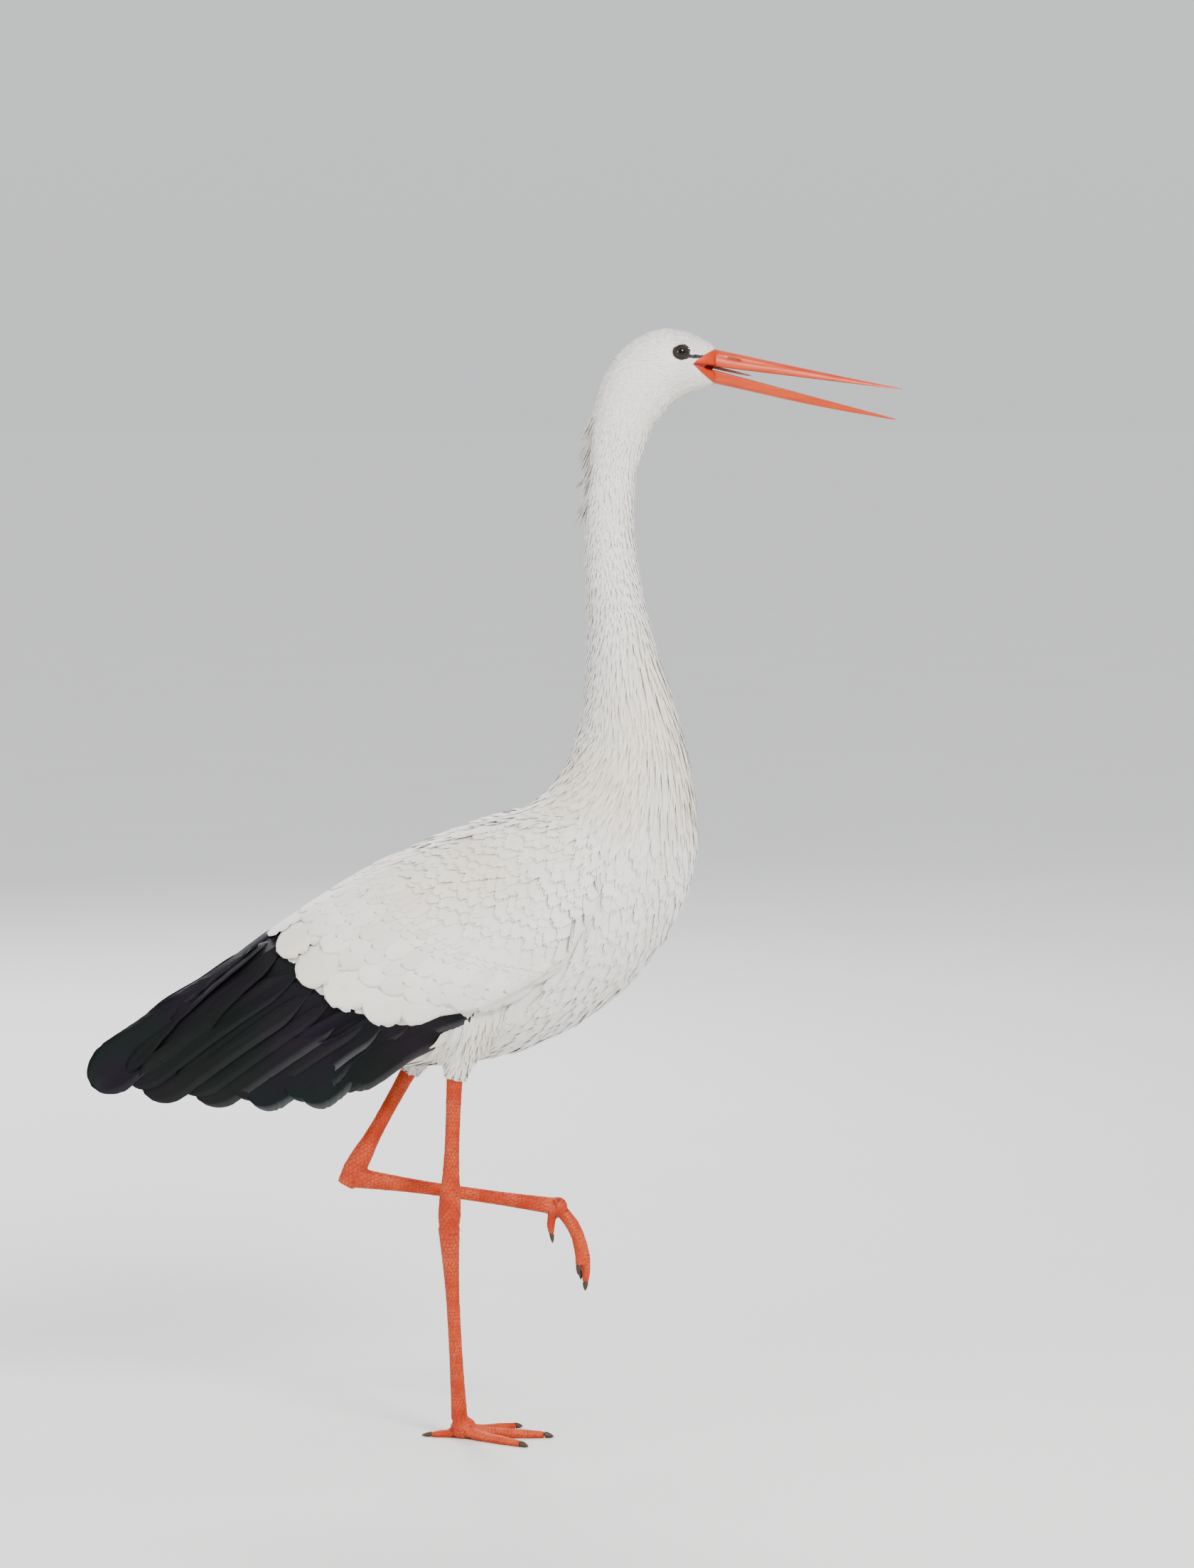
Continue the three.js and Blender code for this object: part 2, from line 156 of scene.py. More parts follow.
def oriented(points, faces):
    """The faces of a closed mesh, turned to face outward."""
    c = points[faces]
    volume = np.einsum("ij,ij->i", c[:, 0], np.cross(c[:, 1], c[:, 2])).sum()
    return faces if volume > 0 else faces[:, ::-1]


def tube(rings):
    """A closed tube through rings, an array of (rings, sides, 3)."""
    count, sides, _ = rings.shape
    grid = np.arange(count * sides).reshape(count, sides)
    grid = np.concatenate([grid, grid[:, :1]], 1)
    a, d, c, b = quads_of(grid)
    first, last = np.full(sides, count * sides), np.full(sides, count * sides + 1)
    faces = np.concatenate([
        split(a, b, c, d), np.stack([first, grid[0, 1:], grid[0, :-1]], -1),
        np.stack([last, grid[-1, :-1], grid[-1, 1:]], -1),
    ])
    points = np.concatenate([rings.reshape(-1, 3), [rings[0].mean(0), rings[-1].mean(0)]])
    return points, oriented(points, faces)


def read_mesh(me):
    co = np.empty(len(me.vertices) * 3, np.float32)
    me.vertices.foreach_get("co", co)
    me.calc_loop_triangles()
    corners = np.empty(len(me.loop_triangles) * 3, np.int32)
    me.loop_triangles.foreach_get("vertices", corners)
    return co.reshape(-1, 3).astype(float) / MM, corners.reshape(-1, 3)


def node_mesh(*names):
    """Some CAD nodes as one mesh, with points that share a place made one."""
    points, faces = gathered([read_mesh(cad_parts[name].data) for name in names])
    _, first, back = np.unique(
        np.round(points, 3), axis=0, return_index=True, return_inverse=True
    )
    faces = back.reshape(-1)[faces]
    return points[first], faces[(faces != np.roll(faces, 1, axis=1)).all(1)]


def node_middle(name):
    return np.array(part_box(name)).mean(0) / MM


def new_mesh(name, points, faces):
    """faces is an array of triangles or of quads."""
    me = bpy.data.meshes.new(name)
    count, sides = faces.shape
    me.vertices.add(len(points))
    me.vertices.foreach_set("co", (points * MM).astype(np.float32).ravel())
    me.loops.add(count * sides)
    me.loops.foreach_set("vertex_index", faces.astype(np.int32).ravel())
    me.polygons.add(count)
    starts = np.arange(0, count * sides, sides, dtype=np.int32)
    me.polygons.foreach_set("loop_start", starts)
    me.update(calc_edges=True)
    me.shade_smooth()
    return me


def new_object(name, data, material=None):
    ob = bpy.data.objects.new(name, data)
    bpy.context.scene.collection.objects.link(ob)
    if material:
        data.materials.append(material)
    return ob


def modified(points, faces, **modifiers):
    """A mesh after modifiers, each given as its type and settings."""
    ob = new_object("rough", new_mesh("rough", points, faces))
    for kind, settings in modifiers.items():
        modifier = ob.modifiers.new(kind, kind)
        for key, value in settings.items():
            setattr(modifier, key, value)
    made = ob.evaluated_get(bpy.context.evaluated_depsgraph_get())
    out = read_mesh(made.to_mesh())
    made.to_mesh_clear()
    bpy.data.objects.remove(ob)
    return out


def remeshed(points, faces, voxel, relax, swell=0.5):
    """One closed skin round overlapping or nearly touching bodies."""
    points = points + normals_of(points, faces) * swell
    wrap = {"mode": "VOXEL", "voxel_size": voxel * MM}
    return modified(points, faces, REMESH=wrap, SMOOTH={"factor": 0.5, "iterations": relax})


def joined(first, second):
    """The union of two closed meshes."""
    other = new_object("other", new_mesh("other", *second))
    union = {"operation": "UNION", "solver": "MANIFOLD", "object": other}
    made = modified(*first, BOOLEAN=union)
    bpy.data.objects.remove(other)
    return made


def edited(points, faces, edit):
    """A mesh after an edit to its bmesh."""
    me = new_mesh("rough", points, faces)
    bm = bmesh.new()
    bm.from_mesh(me)
    edit(bm)
    bm.to_mesh(me)
    bm.free()
    return read_mesh(me)


def calmed(points, faces, share, times):
    """Points drawn toward their neighbours' middle, each by its share."""
    ends = edges_of(faces)
    i, j = np.concatenate([ends, ends[:, ::-1]]).T
    count = np.bincount(i, minlength=len(points))[:, None]
    for _ in range(times):
        total = np.stack([np.bincount(i, points[j, k], len(points)) for k in range(3)], 1)
        points = mix(points, total / np.maximum(count, 1), share[:, None])
    return points


# ---- looking up places on a mesh

ABOVE = 900.0  # a height over the back, and under the head
ASIDE = 400.0  # a place beside the bird
CLOSEST = 0.82  # the least gap between scattered places, as a share of their spacing
GRID_CELL = 4.0  # of the grid in which scattered places are looked up


def tree_of(points, faces):
    return BVHTree.FromPolygons(points.tolist(), faces.tolist())


def gap_to(tree, points, most=40.0):
    """How far each point is from a mesh, up to a limit."""
    found = (tree.find_nearest(p, most) for p in points.tolist())
    return np.array([most if f[3] is None else f[3] for f in found])


def blocked(tree, places, ways, reach):
    """Whether a line from each place meets a mesh within reach."""
    lines = zip(places.tolist(), ways.tolist())
    return np.array([tree.ray_cast(p, way, reach)[0] is not None for p, way in lines])


def nearest_index(points, query):
    """For each place asked for, the nearest point's number and how far it is."""
    tree = KDTree(len(points))
    for i, p in enumerate(points.tolist()):
        tree.insert(p, i)
    tree.balance()
    found = [tree.find(q) for q in query.tolist()]
    return np.array([f[1] for f in found]), np.array([f[2] for f in found])


class Surface:
    """A mesh to lay feathers on."""

    def __init__(self, points, faces):
        self.points, self.faces = points, faces
        self.tree = tree_of(points, faces)
        self.normals = normals_of(points, faces)

    def nearest(self, at):
        """For each point, the nearest place on the mesh and the smooth normal there."""
        place, normal = np.empty_like(at), np.empty_like(at)
        for i, p in enumerate(at.tolist()):
            place[i], _, face, _ = self.tree.find_nearest(p)
            corners = self.faces[face]
            gap = np.linalg.norm(self.points[corners] - place[i], axis=1)
            normal[i] = (self.normals[corners] * (1 / (gap + 0.05))[:, None]).sum(0)
        return place, unit(normal)

    def side_hit(self, x, z, side):
        """The place and normal where a line from one side of the bird meets the mesh, or None."""
        start, way = Vector((x, side * ASIDE, z)), Vector((0, -side, 0))
        hit, normal, _, _ = self.tree.ray_cast(start, way)
        return None if hit is None else (np.array(hit), np.array(normal))

    def top(self, x, y):
        """The place where a line straight down meets the mesh, or None."""
        return self.tree.ray_cast(Vector((x, y, ABOVE)), Vector((0, 0, -1)))[0]

    def scatter(self, spacing, tries=5.0):
        """Places about spacing apart, given for each face; none where it is 0."""
        area = np.linalg.norm(face_normals(self.points, self.faces), axis=1) / 2
        share = np.where(spacing > 0, area / np.maximum(spacing, 0.1) ** 2, 0)
        face = rng.choice(len(area), int(share.sum() * tries), p=share / share.sum())
        u, v = rng.random((2, len(face)))
        over = u + v > 1
        u[over], v[over] = 1 - u[over], 1 - v[over]
        a, b, c = (self.points[self.faces[face, k]] for k in range(3))
        at = a + u[:, None] * (b - a) + v[:, None] * (c - a)
        gap = spacing[face] * CLOSEST
        order = np.argsort(gap, kind="stable")  # the closest set first, so that none is crowded out
        at, gap = at[order], gap[order]
        cells_of = np.floor(at / GRID_CELL).astype(int).tolist()
        grid, kept = {}, []
        for i, (place, cell, room) in enumerate(zip(at.tolist(), cells_of, gap.tolist())):
            reach = int(room // GRID_CELL) + 1
            around = product(*(range(k - reach, k + reach + 1) for k in cell))
            if all(math.dist(place, q) >= room for key in around for q in grid.get(key, ())):
                grid.setdefault(tuple(cell), []).append(place)
                kept.append(i)
        return at[kept]


# ---- materials

WHITE = (0.83, 0.815, 0.78)
CREAM = (0.79, 0.735, 0.645)
LEG_RED = (0.46, 0.050, 0.014)
LEG_GROOVE_SHADE = (0.30, 0.040, 0.015)
LEG_PALE = (0.58, 0.115, 0.045)
BILL_RED = (0.50, 0.050, 0.012)
BILL_DARK = (0.24, 0.020, 0.010)
FACE_BLACK = (0.012, 0.011, 0.012)


class Nodes:
    """Builds a node tree; what each method makes is returned as a socket."""

    def __init__(self, tree):
        self.tree = tree

    def put(self, value, socket):
        """A link to the socket, or its own value."""
        if isinstance(value, bpy.types.NodeSocket):
            self.tree.links.new(value, socket)
        elif isinstance(value, tuple) and socket.type == "RGBA":
            socket.default_value = (*value, 1.0)
        else:
            socket.default_value = value

    def add(self, kind, out=0, **inputs):
        node = self.tree.nodes.new(f"ShaderNode{kind}")
        for name, value in inputs.items():
            self.put(value, node.inputs[name.replace("_", " ")])
        return node.outputs[out]

    def attribute(self, name):
        node = self.tree.nodes.new("ShaderNodeAttribute")
        node.attribute_name = name
        return node.outputs["Fac"]

    def noise(self, scale, detail=3.0, rough=0.5, stretch=None):
        place = self.add("TexCoord", "Object")
        if stretch:
            place = self.add("Mapping", Vector=place, Scale=stretch)
        settings = {"Vector": place, "Scale": scale, "Detail": detail, "Roughness": rough}
        return self.add("TexNoise", "Fac", **settings)

    def ramp(self, fac, low, high):
        """0 below low and 1 above high."""
        return self.add("MapRange", Value=fac, From_Min=low, From_Max=high)

    def mix(self, fac, a, b, how="MIX"):
        node = self.tree.nodes.new("ShaderNodeMix")
        node.data_type, node.blend_type = "RGBA", how
        for value, key in ((fac, 0), (a, 6), (b, 7)):
            self.put(value, node.inputs[key])
        return node.outputs[2]

    def math(self, how, *values):
        node = self.tree.nodes.new("ShaderNodeMath")
        node.operation = how
        for socket, value in zip(node.inputs, values):
            self.put(value, socket)
        return node.outputs[0]


class Material(Nodes):
    """A material's nodes, which end in its Principled shader."""

    def __init__(self, name, roughness, specular=0.5, sheen=0.0, coat=0.0, coat_roughness=0.1):
        self.made = bpy.data.materials.new(name)
        self.made.use_nodes = True
        super().__init__(self.made.node_tree)
        self.ends = self.tree.nodes["Principled BSDF"].inputs
        for key, value in {
            "Roughness": roughness, "Specular IOR Level": specular, "Sheen Weight": sheen,
            "Coat Weight": coat, "Coat Roughness": coat_roughness,
        }.items():
            self.put(value, self.ends[key])

    def done(self, colour, height=None, strength=0.0, distance=0.0):
        """The material, with its colour, and the bump of a height, in metres."""
        self.put(colour, self.ends["Base Color"])
        if height:
            bump = self.add("Bump", Height=height, Strength=strength, Distance=distance)
            self.put(bump, self.ends["Normal"])
        return self.made


def white_plumage():
    m = Material("white_plumage", 0.72, specular=0.25, sheen=0.25)
    colour = m.mix(m.ramp(m.noise(9.0), 0.42, 0.66), WHITE, CREAM)
    # painted shade: small feathers are greyed at their roots and in their clefts by their own values;
    # for large feathers the value is only a random tone
    painted_shade_and_tone = m.mix(m.attribute("tint"), (0.90, 0.90, 0.91), (1.0, 1.0, 1.0))
    return m.done(m.mix(1.0, colour, painted_shade_and_tone, "MULTIPLY"), m.noise(700.0, 2.0), 0.15, 0.0006)


def black_plumage():
    m = Material("black_plumage", 0.48, specular=0.2)
    # painted sheen: patches of green-black and purple-black stand in for the iridescent gloss of the
    # black feathers
    painted_iridescence = m.ramp(m.noise(14.0, 2.0), 0.4, 0.62)
    colour = m.mix(painted_iridescence, (0.007, 0.013, 0.012), (0.013, 0.008, 0.017))
    colour = m.mix(m.attribute("silver"), colour, (0.20, 0.205, 0.215))
    worn = m.math("MULTIPLY", m.attribute("tint"), 0.5)
    colour = m.mix(worn, colour, (0.016, 0.013, 0.012))
    wave = m.math("SINE", m.math("MULTIPLY", m.attribute("barb"), 6.2832))
    return m.done(colour, wave, 0.35, 0.0004)


def skin_material():
    m = Material("skin", 0.55, specular=0.4)
    under = m.mix(m.noise(90.0), (0.66, 0.60, 0.55), (0.74, 0.70, 0.66))
    red = m.mix(m.ramp(m.noise(55.0, 4.0), 0.35, 0.7), LEG_RED, LEG_PALE)
    # painted shade: the leg's red is darker in the grooves between its scales
    red = m.mix(m.attribute("groove"), red, LEG_GROOVE_SHADE)
    colour = m.mix(m.attribute("leg"), under, red)
    black = m.mix(m.noise(400.0), FACE_BLACK, (0.03, 0.027, 0.026))
    colour = m.mix(m.attribute("bare"), colour, black)
    horn = m.attribute("horn")
    colour = m.mix(horn, colour, BILL_RED)
    # painted shade: the skin inside the mouth's corner is darkened
    colour = m.mix(m.attribute("mouth"), colour, BILL_DARK)
    m.put(m.math("MULTIPLY_ADD", horn, -0.2, 0.55), m.ends["Roughness"])
    return m.done(colour, m.noise(900.0), 0.35, 0.0004)


def bill_material():
    m = Material("bill_horn", 0.34, coat=0.15, coat_roughness=0.25)
    streak = m.noise(16.0, 4.0, 0.6, stretch=(1.0, 8.0, 12.0))
    colour = m.mix(m.ramp(streak, 0.3, 0.7), BILL_RED, (0.60, 0.095, 0.022))
    # painted shade inside the bill and along its cutting edge, with a darker root as the bill's own
    # colour
    colour = m.mix(m.attribute("dark"), colour, BILL_DARK)
    # painted shade: the nostril's slit is painted near black for the dark inside it
    colour = m.mix(m.attribute("slit"), colour, (0.02, 0.008, 0.006))
    return m.done(colour, m.noise(120.0, 4.0, 0.6, stretch=(0.6, 9.0, 9.0)), 0.25, 0.0006)


def claw_material():
    m = Material("claw_horn", 0.45)
    colour = m.mix(m.noise(300.0), (0.035, 0.022, 0.016), (0.11, 0.065, 0.045))
    return m.done(colour, m.noise(700.0), 0.3, 0.0003)


def eye_material():
    m = Material("eye_wet", 0.09, specular=0.3, coat=0.35, coat_roughness=0.02)
    ring = m.attribute("ring")
    iris = m.mix(m.noise(1500.0, 2.0), (0.020, 0.009, 0.005), (0.055, 0.024, 0.011))
    colour = m.mix(m.ramp(ring, 0.40, 0.45), (0.002, 0.002, 0.002), iris)
    return m.done(m.mix(m.ramp(ring, 0.70, 0.80), colour, (0.006, 0.004, 0.004)))


def tongue_material():
    m = Material("tongue_skin", 0.35, coat=0.3)
    colour = m.mix(m.noise(200.0), (0.62, 0.19, 0.15), (0.72, 0.30, 0.24))
    return m.done(colour, m.noise(900.0), 0.3, 0.0003)


MATERIALS = {  # for each slot
    "white_plumage": white_plumage(), "black_plumage": black_plumage(),
    "leg_skin": skin_material(), "bill_horn": bill_material(), "claw": claw_material(),
    "eye": eye_material(), "tongue": tongue_material(),
}


def piece(name, points, faces, slot, replaced=(), **attributes):
    """A visible piece that rides on the root, with values of its points for the material."""
    me = new_mesh(name, points, faces)
    for key, values in attributes.items():
        layer = me.attributes.new(key, "FLOAT", "POINT")
        layer.data.foreach_set("value", np.asarray(values, np.float32))
    ob = new_object(name, me, MATERIALS[slot])
    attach(ob, "root")
    if replaced:
        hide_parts(*replaced)
    return ob


# ---- measures taken from the frame

SIDES = {"right": -1, "left": 1}
TOE_NAMES = ("inner", "middle", "outer", "hind")
MANDIBLES = {"upper_bill": 1, "lower_bill": -1}
WINGS = ("right_wing", "left_wing")
FLIGHTS = ("right_flight_feathers", "left_flight_feathers")
THIGHS = ("right_thigh", "left_thigh")
NECK = ("neck_lower", "neck_middle", "neck_upper")
WING_TREE = tree_of(*node_mesh(*WINGS))
SLAB_TREE = tree_of(*node_mesh(*WINGS, *FLIGHTS))
EYES = {side: node_middle(f"{which}_eye") for which, side in SIDES.items()}
EYE_RADIUS = np.diff(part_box("right_eye"), axis=0)[0, 2] / 2 / MM
LID_OPEN = (5.9, 5.4)  # half width and half height of the opening between the lids
BILL_ROOT_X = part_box("upper_bill")[0][0] / MM + 3.0
NECK_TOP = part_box("head")[0][2] / MM
GAPE = np.array([BILL_ROOT_X - 18.0, 0.0, 1013.0])
MOUTH_SLOPE = math.tan(math.radians(11.0))


def square_to(axis):
    """Sideways, and square to both that and the axis."""
    side = unit(np.array([0.0, 1.0, 0.0]) - axis * axis[1])
    return side, np.cross(side, axis)


def slices(node, start, count, inset=0.03, axis=None):
    """Cuts a CAD node across its length, away from start: each cut's middle, its half sizes across
    and in depth, and the directions along, across and deep."""
    points, faces = node_mesh(node)
    middle = points.mean(0)
    if axis is None:
        axis = np.linalg.svd(points - middle, full_matrices=False)[2][0]
    if (np.asarray(start) - middle) @ axis > 0:
        axis = -axis
    side, deep = square_to(axis)
    local = np.stack([(points - middle) @ v for v in (axis, side, deep)], 1)
    low, high = local[:, 0].min(), local[:, 0].max()
    ends_a, ends_b = (local[k] for k in edges_of(faces).T)
    centres, halves = [], []
    for t in np.linspace(low + (high - low) * inset, high - (high - low) * inset, count):
        cut = (ends_a[:, 0] - t) * (ends_b[:, 0] - t) < 0
        a, b = ends_a[cut], ends_b[cut]
        where = a + (b - a) * ((t - a[:, 0]) / (b[:, 0] - a[:, 0]))[:, None]
        least, most = where[:, 1:].min(0), where[:, 1:].max(0)
        centre = (least + most) / 2
        centres.append(middle + axis * t + side * centre[0] + deep * centre[1])
        halves.append((most - least) / 2)
    return np.array(centres), np.array(halves), axis, side, deep


def along(points, line):
    """For each point, the nearest place on a polyline: how far it is, the length up to it, the
    offset from it, and the number of its segment."""
    a, b = line[:-1], line[1:]
    d = b - a
    size = np.linalg.norm(d, axis=1)
    start = np.concatenate([[0], np.cumsum(size)[:-1]])
    t = np.clip(np.einsum("nkj,kj->nk", points[:, None] - a, d) / size**2, 0, 1)
    off = points[:, None] - (a + t[..., None] * d)
    gap = np.linalg.norm(off, axis=2)
    best = gap.argmin(1)
    rows = np.arange(len(points))
    return gap[rows, best], start[best] + t[rows, best] * size[best], off[rows, best], best


THIGH_LINE = {w: slices(f"{w}_thigh", node_middle("trunk"), 5, 0.04)[0][[0, -1]] for w in SIDES}


def on_thigh(at, which):
    """1 for places on a thigh, 0 elsewhere."""
    gap, s, _, _ = along(at, THIGH_LINE[which])
    return fall(20, 34, gap) * fall(425, 450, at[:, 2]) * step(0.5, 6, s)


# ---- legs

SHANK_SCALE = (3.6, 2.7)  # a scale's length and width
SHANK_ROUND = 12.0  # scales round a shank or tarsus
TOE_SCALE = (2.6, 2.6)
TOE_ROUND = 10.0
TOE_SCUTE = 3.1
SCALE_RELIEF = 0.34
WEB_THICK = 2.4
WEB_REACH = {"right": 0.36, "left": 0.2}  # how far out along the toes, as a share
LEG_TOP = 372  # no leg skin lies above this height


def leg_lines(which):
    """The middle lines of a leg's lengths, from the shank down to each toe's tip."""
    lines, start = {}, node_middle(f"{which}_thigh")
    for name in ("shank", "tarsus"):
        lines[name] = slices(f"{which}_{name}", start, 7)[0]
        start = lines[name][-1]
    root = node_middle(f"{which}_foot")
    for toe in TOE_NAMES:
        lines[toe] = np.concatenate([[root], slices(f"{which}_toe_{toe}", root, 7)[0]])
    return lines


def cells(s, v, scale, wrap):
    """Distance from the nearest and second nearest of jittered hexagonal scales. v runs from 0 to
    wrap scales round the limb, s is in mm along it."""
    long, wide = scale
    i, j = np.floor(s / long), np.floor(v)
    near, second = np.full((2, len(s)), 9.0)
    for di, dj in product((-1, 0, 1), (-2, -1, 0, 1, 2)):
        ci, cj = i + di, j + dj
        wj = np.mod(cj, wrap)
        ci_mid = ci + 0.5 + 0.3 * (hashed(ci, wj) - 0.5)
        cj_mid = cj + 0.5 + 0.5 * np.mod(ci, 2) + 0.3 * (hashed(ci, wj, 1) - 0.5)
        gap = np.hypot((s / long - ci_mid) * long / wide, v - cj_mid)
        closer = gap < near
        second = np.where(closer, near, np.minimum(second, gap))
        near = np.where(closer, gap, near)
    return near, second


def web(a, b, reach):
    """The skin stretched between the roots of two toes, as a small closed plate."""
    root = (a[0] + b[0]) / 2
    tips = [mix(a[0], a[-1], reach), mix(b[0], b[-1], reach)]
    middle = mix(root, (tips[0] + tips[1]) / 2, 0.62)
    outline = np.array([root, tips[0], middle, tips[1]])
    up = np.cross(tips[0] - root, tips[1] - root)
    up = up / np.linalg.norm(up) * WEB_THICK / 2
    if up[2] < 0:
        up = -up
    faces = [[0, 1, 2], [0, 2, 3], [4, 6, 5], [4, 7, 6]]
    for i in range(4):
        j = (i + 1) % 4
        faces += [[i, i + 4, j], [j, i + 4, j + 4]]
    points = np.concatenate([outline + up, outline - up])
    return points, oriented(points, np.array(faces))


def leg_skin(which):
    """One leg from the shank down, with relief of scales, and how far each point is in a groove."""
    lines = leg_lines(which)
    nodes = ("shank", "tarsus", "foot", *(f"toe_{t}" for t in TOE_NAMES))
    webs = [
        web(lines[a], lines[b], WEB_REACH[which])
        for a, b in (("inner", "middle"), ("middle", "outer"))
    ]
    flesh = gathered([node_mesh(*(f"{which}_{n}" for n in nodes)), *webs])
    points, faces = remeshed(*flesh, LEG_VOXEL, relax=9)
    normals = normals_of(points, faces)
    found = [along(points, line) for line in lines.values()]
    owner = np.stack([f[0] for f in found]).argmin(0)
    height = np.zeros(len(points))
    for k, (name, line) in enumerate(lines.items()):
        mine = owner == k
        _, s, off, _ = (x[mine] for x in found[k])
        side, deep = square_to(unit(line[-1] - line[0]))
        angle = np.arctan2(off @ deep, off @ side) / (2 * np.pi) + 0.5
        if name in ("shank", "tarsus"):
            near, second = cells(s, angle * SHANK_ROUND, SHANK_SCALE, SHANK_ROUND)
        else:
            # scutes lie across the top of a toe, and small round scales below
            back = 1 if name == "hind" else -1
            outward = normals[mine][:, 2] if which == "right" else normals[mine] @ deep * back
            near, second = cells(s, angle * TOE_ROUND, TOE_SCALE, TOE_ROUND)
            seam = 1 - np.abs(np.mod(s / TOE_SCUTE, 1.0) - 0.5) * 2
            top = step(0.15, 0.5, outward)
            near = mix(near, 0.5 - 0.5 * seam, top)
            second = mix(second, 0.5 + 0.5 * seam, top)
        height[mine] = step(0.02, 0.30, second - near)
    points = points + normals * ((height - 0.75) * SCALE_RELIEF)[:, None]
    if which == "right":
        points[:, 2] = np.maximum(points[:, 2], 0.0)
    return points, faces, 1 - height


# ---- head, neck and trunk

WING_DEPTH = 1.5  # the coat's depth over the wings
HEAD_FROM = (960, 985)  # the heights over which the neck's coat gives way to the head's
BEHIND = 9.0  # the ring of a point behind an eye
HEAD_VOXEL = 1.25
BODY_VOXEL = 4.0
LEG_VOXEL = 1.1


def eye_frame(side):
    """Outward, forward and up at an eye."""
    out = unit(np.array([0.16, side * 1.0, 0.06]))
    up = unit(np.array([0.0, 0.0, 1.0]) - out * out[2])
    return out, np.cross(out, up) * side, up


def from_eye(points, side):
    """How far each point is outward, forward and up from an eye's middle."""
    return [(points - EYES[side]) @ way for way in eye_frame(side)]


def eye_ring(points):
    """How far out each point is from an eye's axis: 1 at the edge of the lids' opening."""
    rings = []
    for side in EYES:
        outward, ahead, rise = from_eye(points, side)
        ring = np.hypot(ahead / LID_OPEN[0], rise / LID_OPEN[1])
        rings.append(np.where(outward > 0, ring, BEHIND))
    return np.minimum(*rings)


def bare_face(points):
    """1 on the black bare skin: round each eye, ahead of it, and on the chin."""
    chin = np.hypot((points[:, 0] - BILL_ROOT_X) / 14.0, points[:, 1] / 3.6)
    bare = fall(0.85, 1.05, chin) * (points[:, 2] < GAPE[2] - 8)
    for side in EYES:
        outward, ahead, rise = from_eye(points, side)
        lobe = np.hypot((ahead - 1.5) / 10.2, (rise + 0.4) / 7.6)
        streak = np.hypot((ahead - 13) / 10.0, (rise + 4.0) / 2.2)
        here = np.maximum(fall(0.93, 1.03, lobe), fall(0.8, 1.05, streak))
        bare = np.maximum(bare, np.where(outward > 0, here, 0))
    return bare


def mouth_gap(points):
    """How far ahead of the mouth's corner each point is, and how far above the mouth's middle."""
    d = points - GAPE
    return d[:, 0], d[:, 2] + d[:, 0] * MOUTH_SLOPE


def inside_mouth(points):
    ahead, off = mouth_gap(points)
    return step(-3, -1, ahead) * fall(0.5, 1.6, np.abs(off) - ahead.clip(0) * 0.12)


def horn_zone(points):
    """1 where the skin of the cheeks is red and smooth as the horn that it meets."""
    ahead, off = mouth_gap(points)
    reach = (ahead + 2.0) / (BILL_ROOT_X + 2.5 - GAPE[0])
    tall = np.where(off > 0, 17.5, 15.0) * reach.clip(0, 1.3) ** 0.8
    return step(-3, -2, ahead) * fall(-0.35, 0.35, np.abs(off) - tall)


def coat_depth(points):
    """How far the skin lies under the tips of the coat."""
    x, _, z = points.T
    face = step(*HEAD_FROM, z)
    depth = layered(
        4.0, (3.2, step(560, 720, z)), (2.0, step(760, 900, z)), (1.2, step(950, 985, z)),
        (0.9, step(BILL_ROOT_X - 22, BILL_ROOT_X - 5, x) * face),
        (-0.25, horn_zone(points) * face),
        (1.4, step(BILL_ROOT_X - 2, BILL_ROOT_X + 3, x) * face),
        (4.0, step(395, 360, z) * step(-90, -50, x) * fall(20, 70, x)),
    )
    depth = mix(0.4, depth, step(1.5, 2.6, eye_ring(points)))
    return mix(depth, 0.1, inside_mouth(points) * face)


def ball(centre, radii):
    turn = np.linspace(0.05, np.pi - 0.05, 14)[:, None]
    a = np.linspace(0, 2 * np.pi, 20, endpoint=False)
    rings = [np.cos(turn) + 0 * a, np.sin(turn) * np.cos(a), np.sin(turn) * np.sin(a)]
    return tube(np.stack(rings, -1) * radii + centre)


def finer_face(bm):
    """Cuts the edges round the eyes and the bill's root, and again those at the mouth."""
    for again in (False, True):
        co = np.array([v.co for v in bm.verts]) / MM
        ahead, off = mouth_gap(co)
        if again:
            near = (ahead > -3) & (ahead < 27) & (np.abs(off) < 2.2 + ahead.clip(0) * 0.14)
        else:
            near = (co[:, 0] > 204) & (co[:, 0] < BILL_ROOT_X + 6) & (co[:, 2] > 985)
        near |= eye_ring(co) < 2.1
        bm.verts.ensure_lookup_table()
        close = [e for e in bm.edges if near[e.verts[0].index] or near[e.verts[1].index]]
        bmesh.ops.subdivide_edges(bm, edges=close, cuts=1, use_grid_fill=True)
        bmesh.ops.triangulate(bm, faces=[f for f in bm.faces if len(f.verts) > 3])
        bm.verts.index_update()


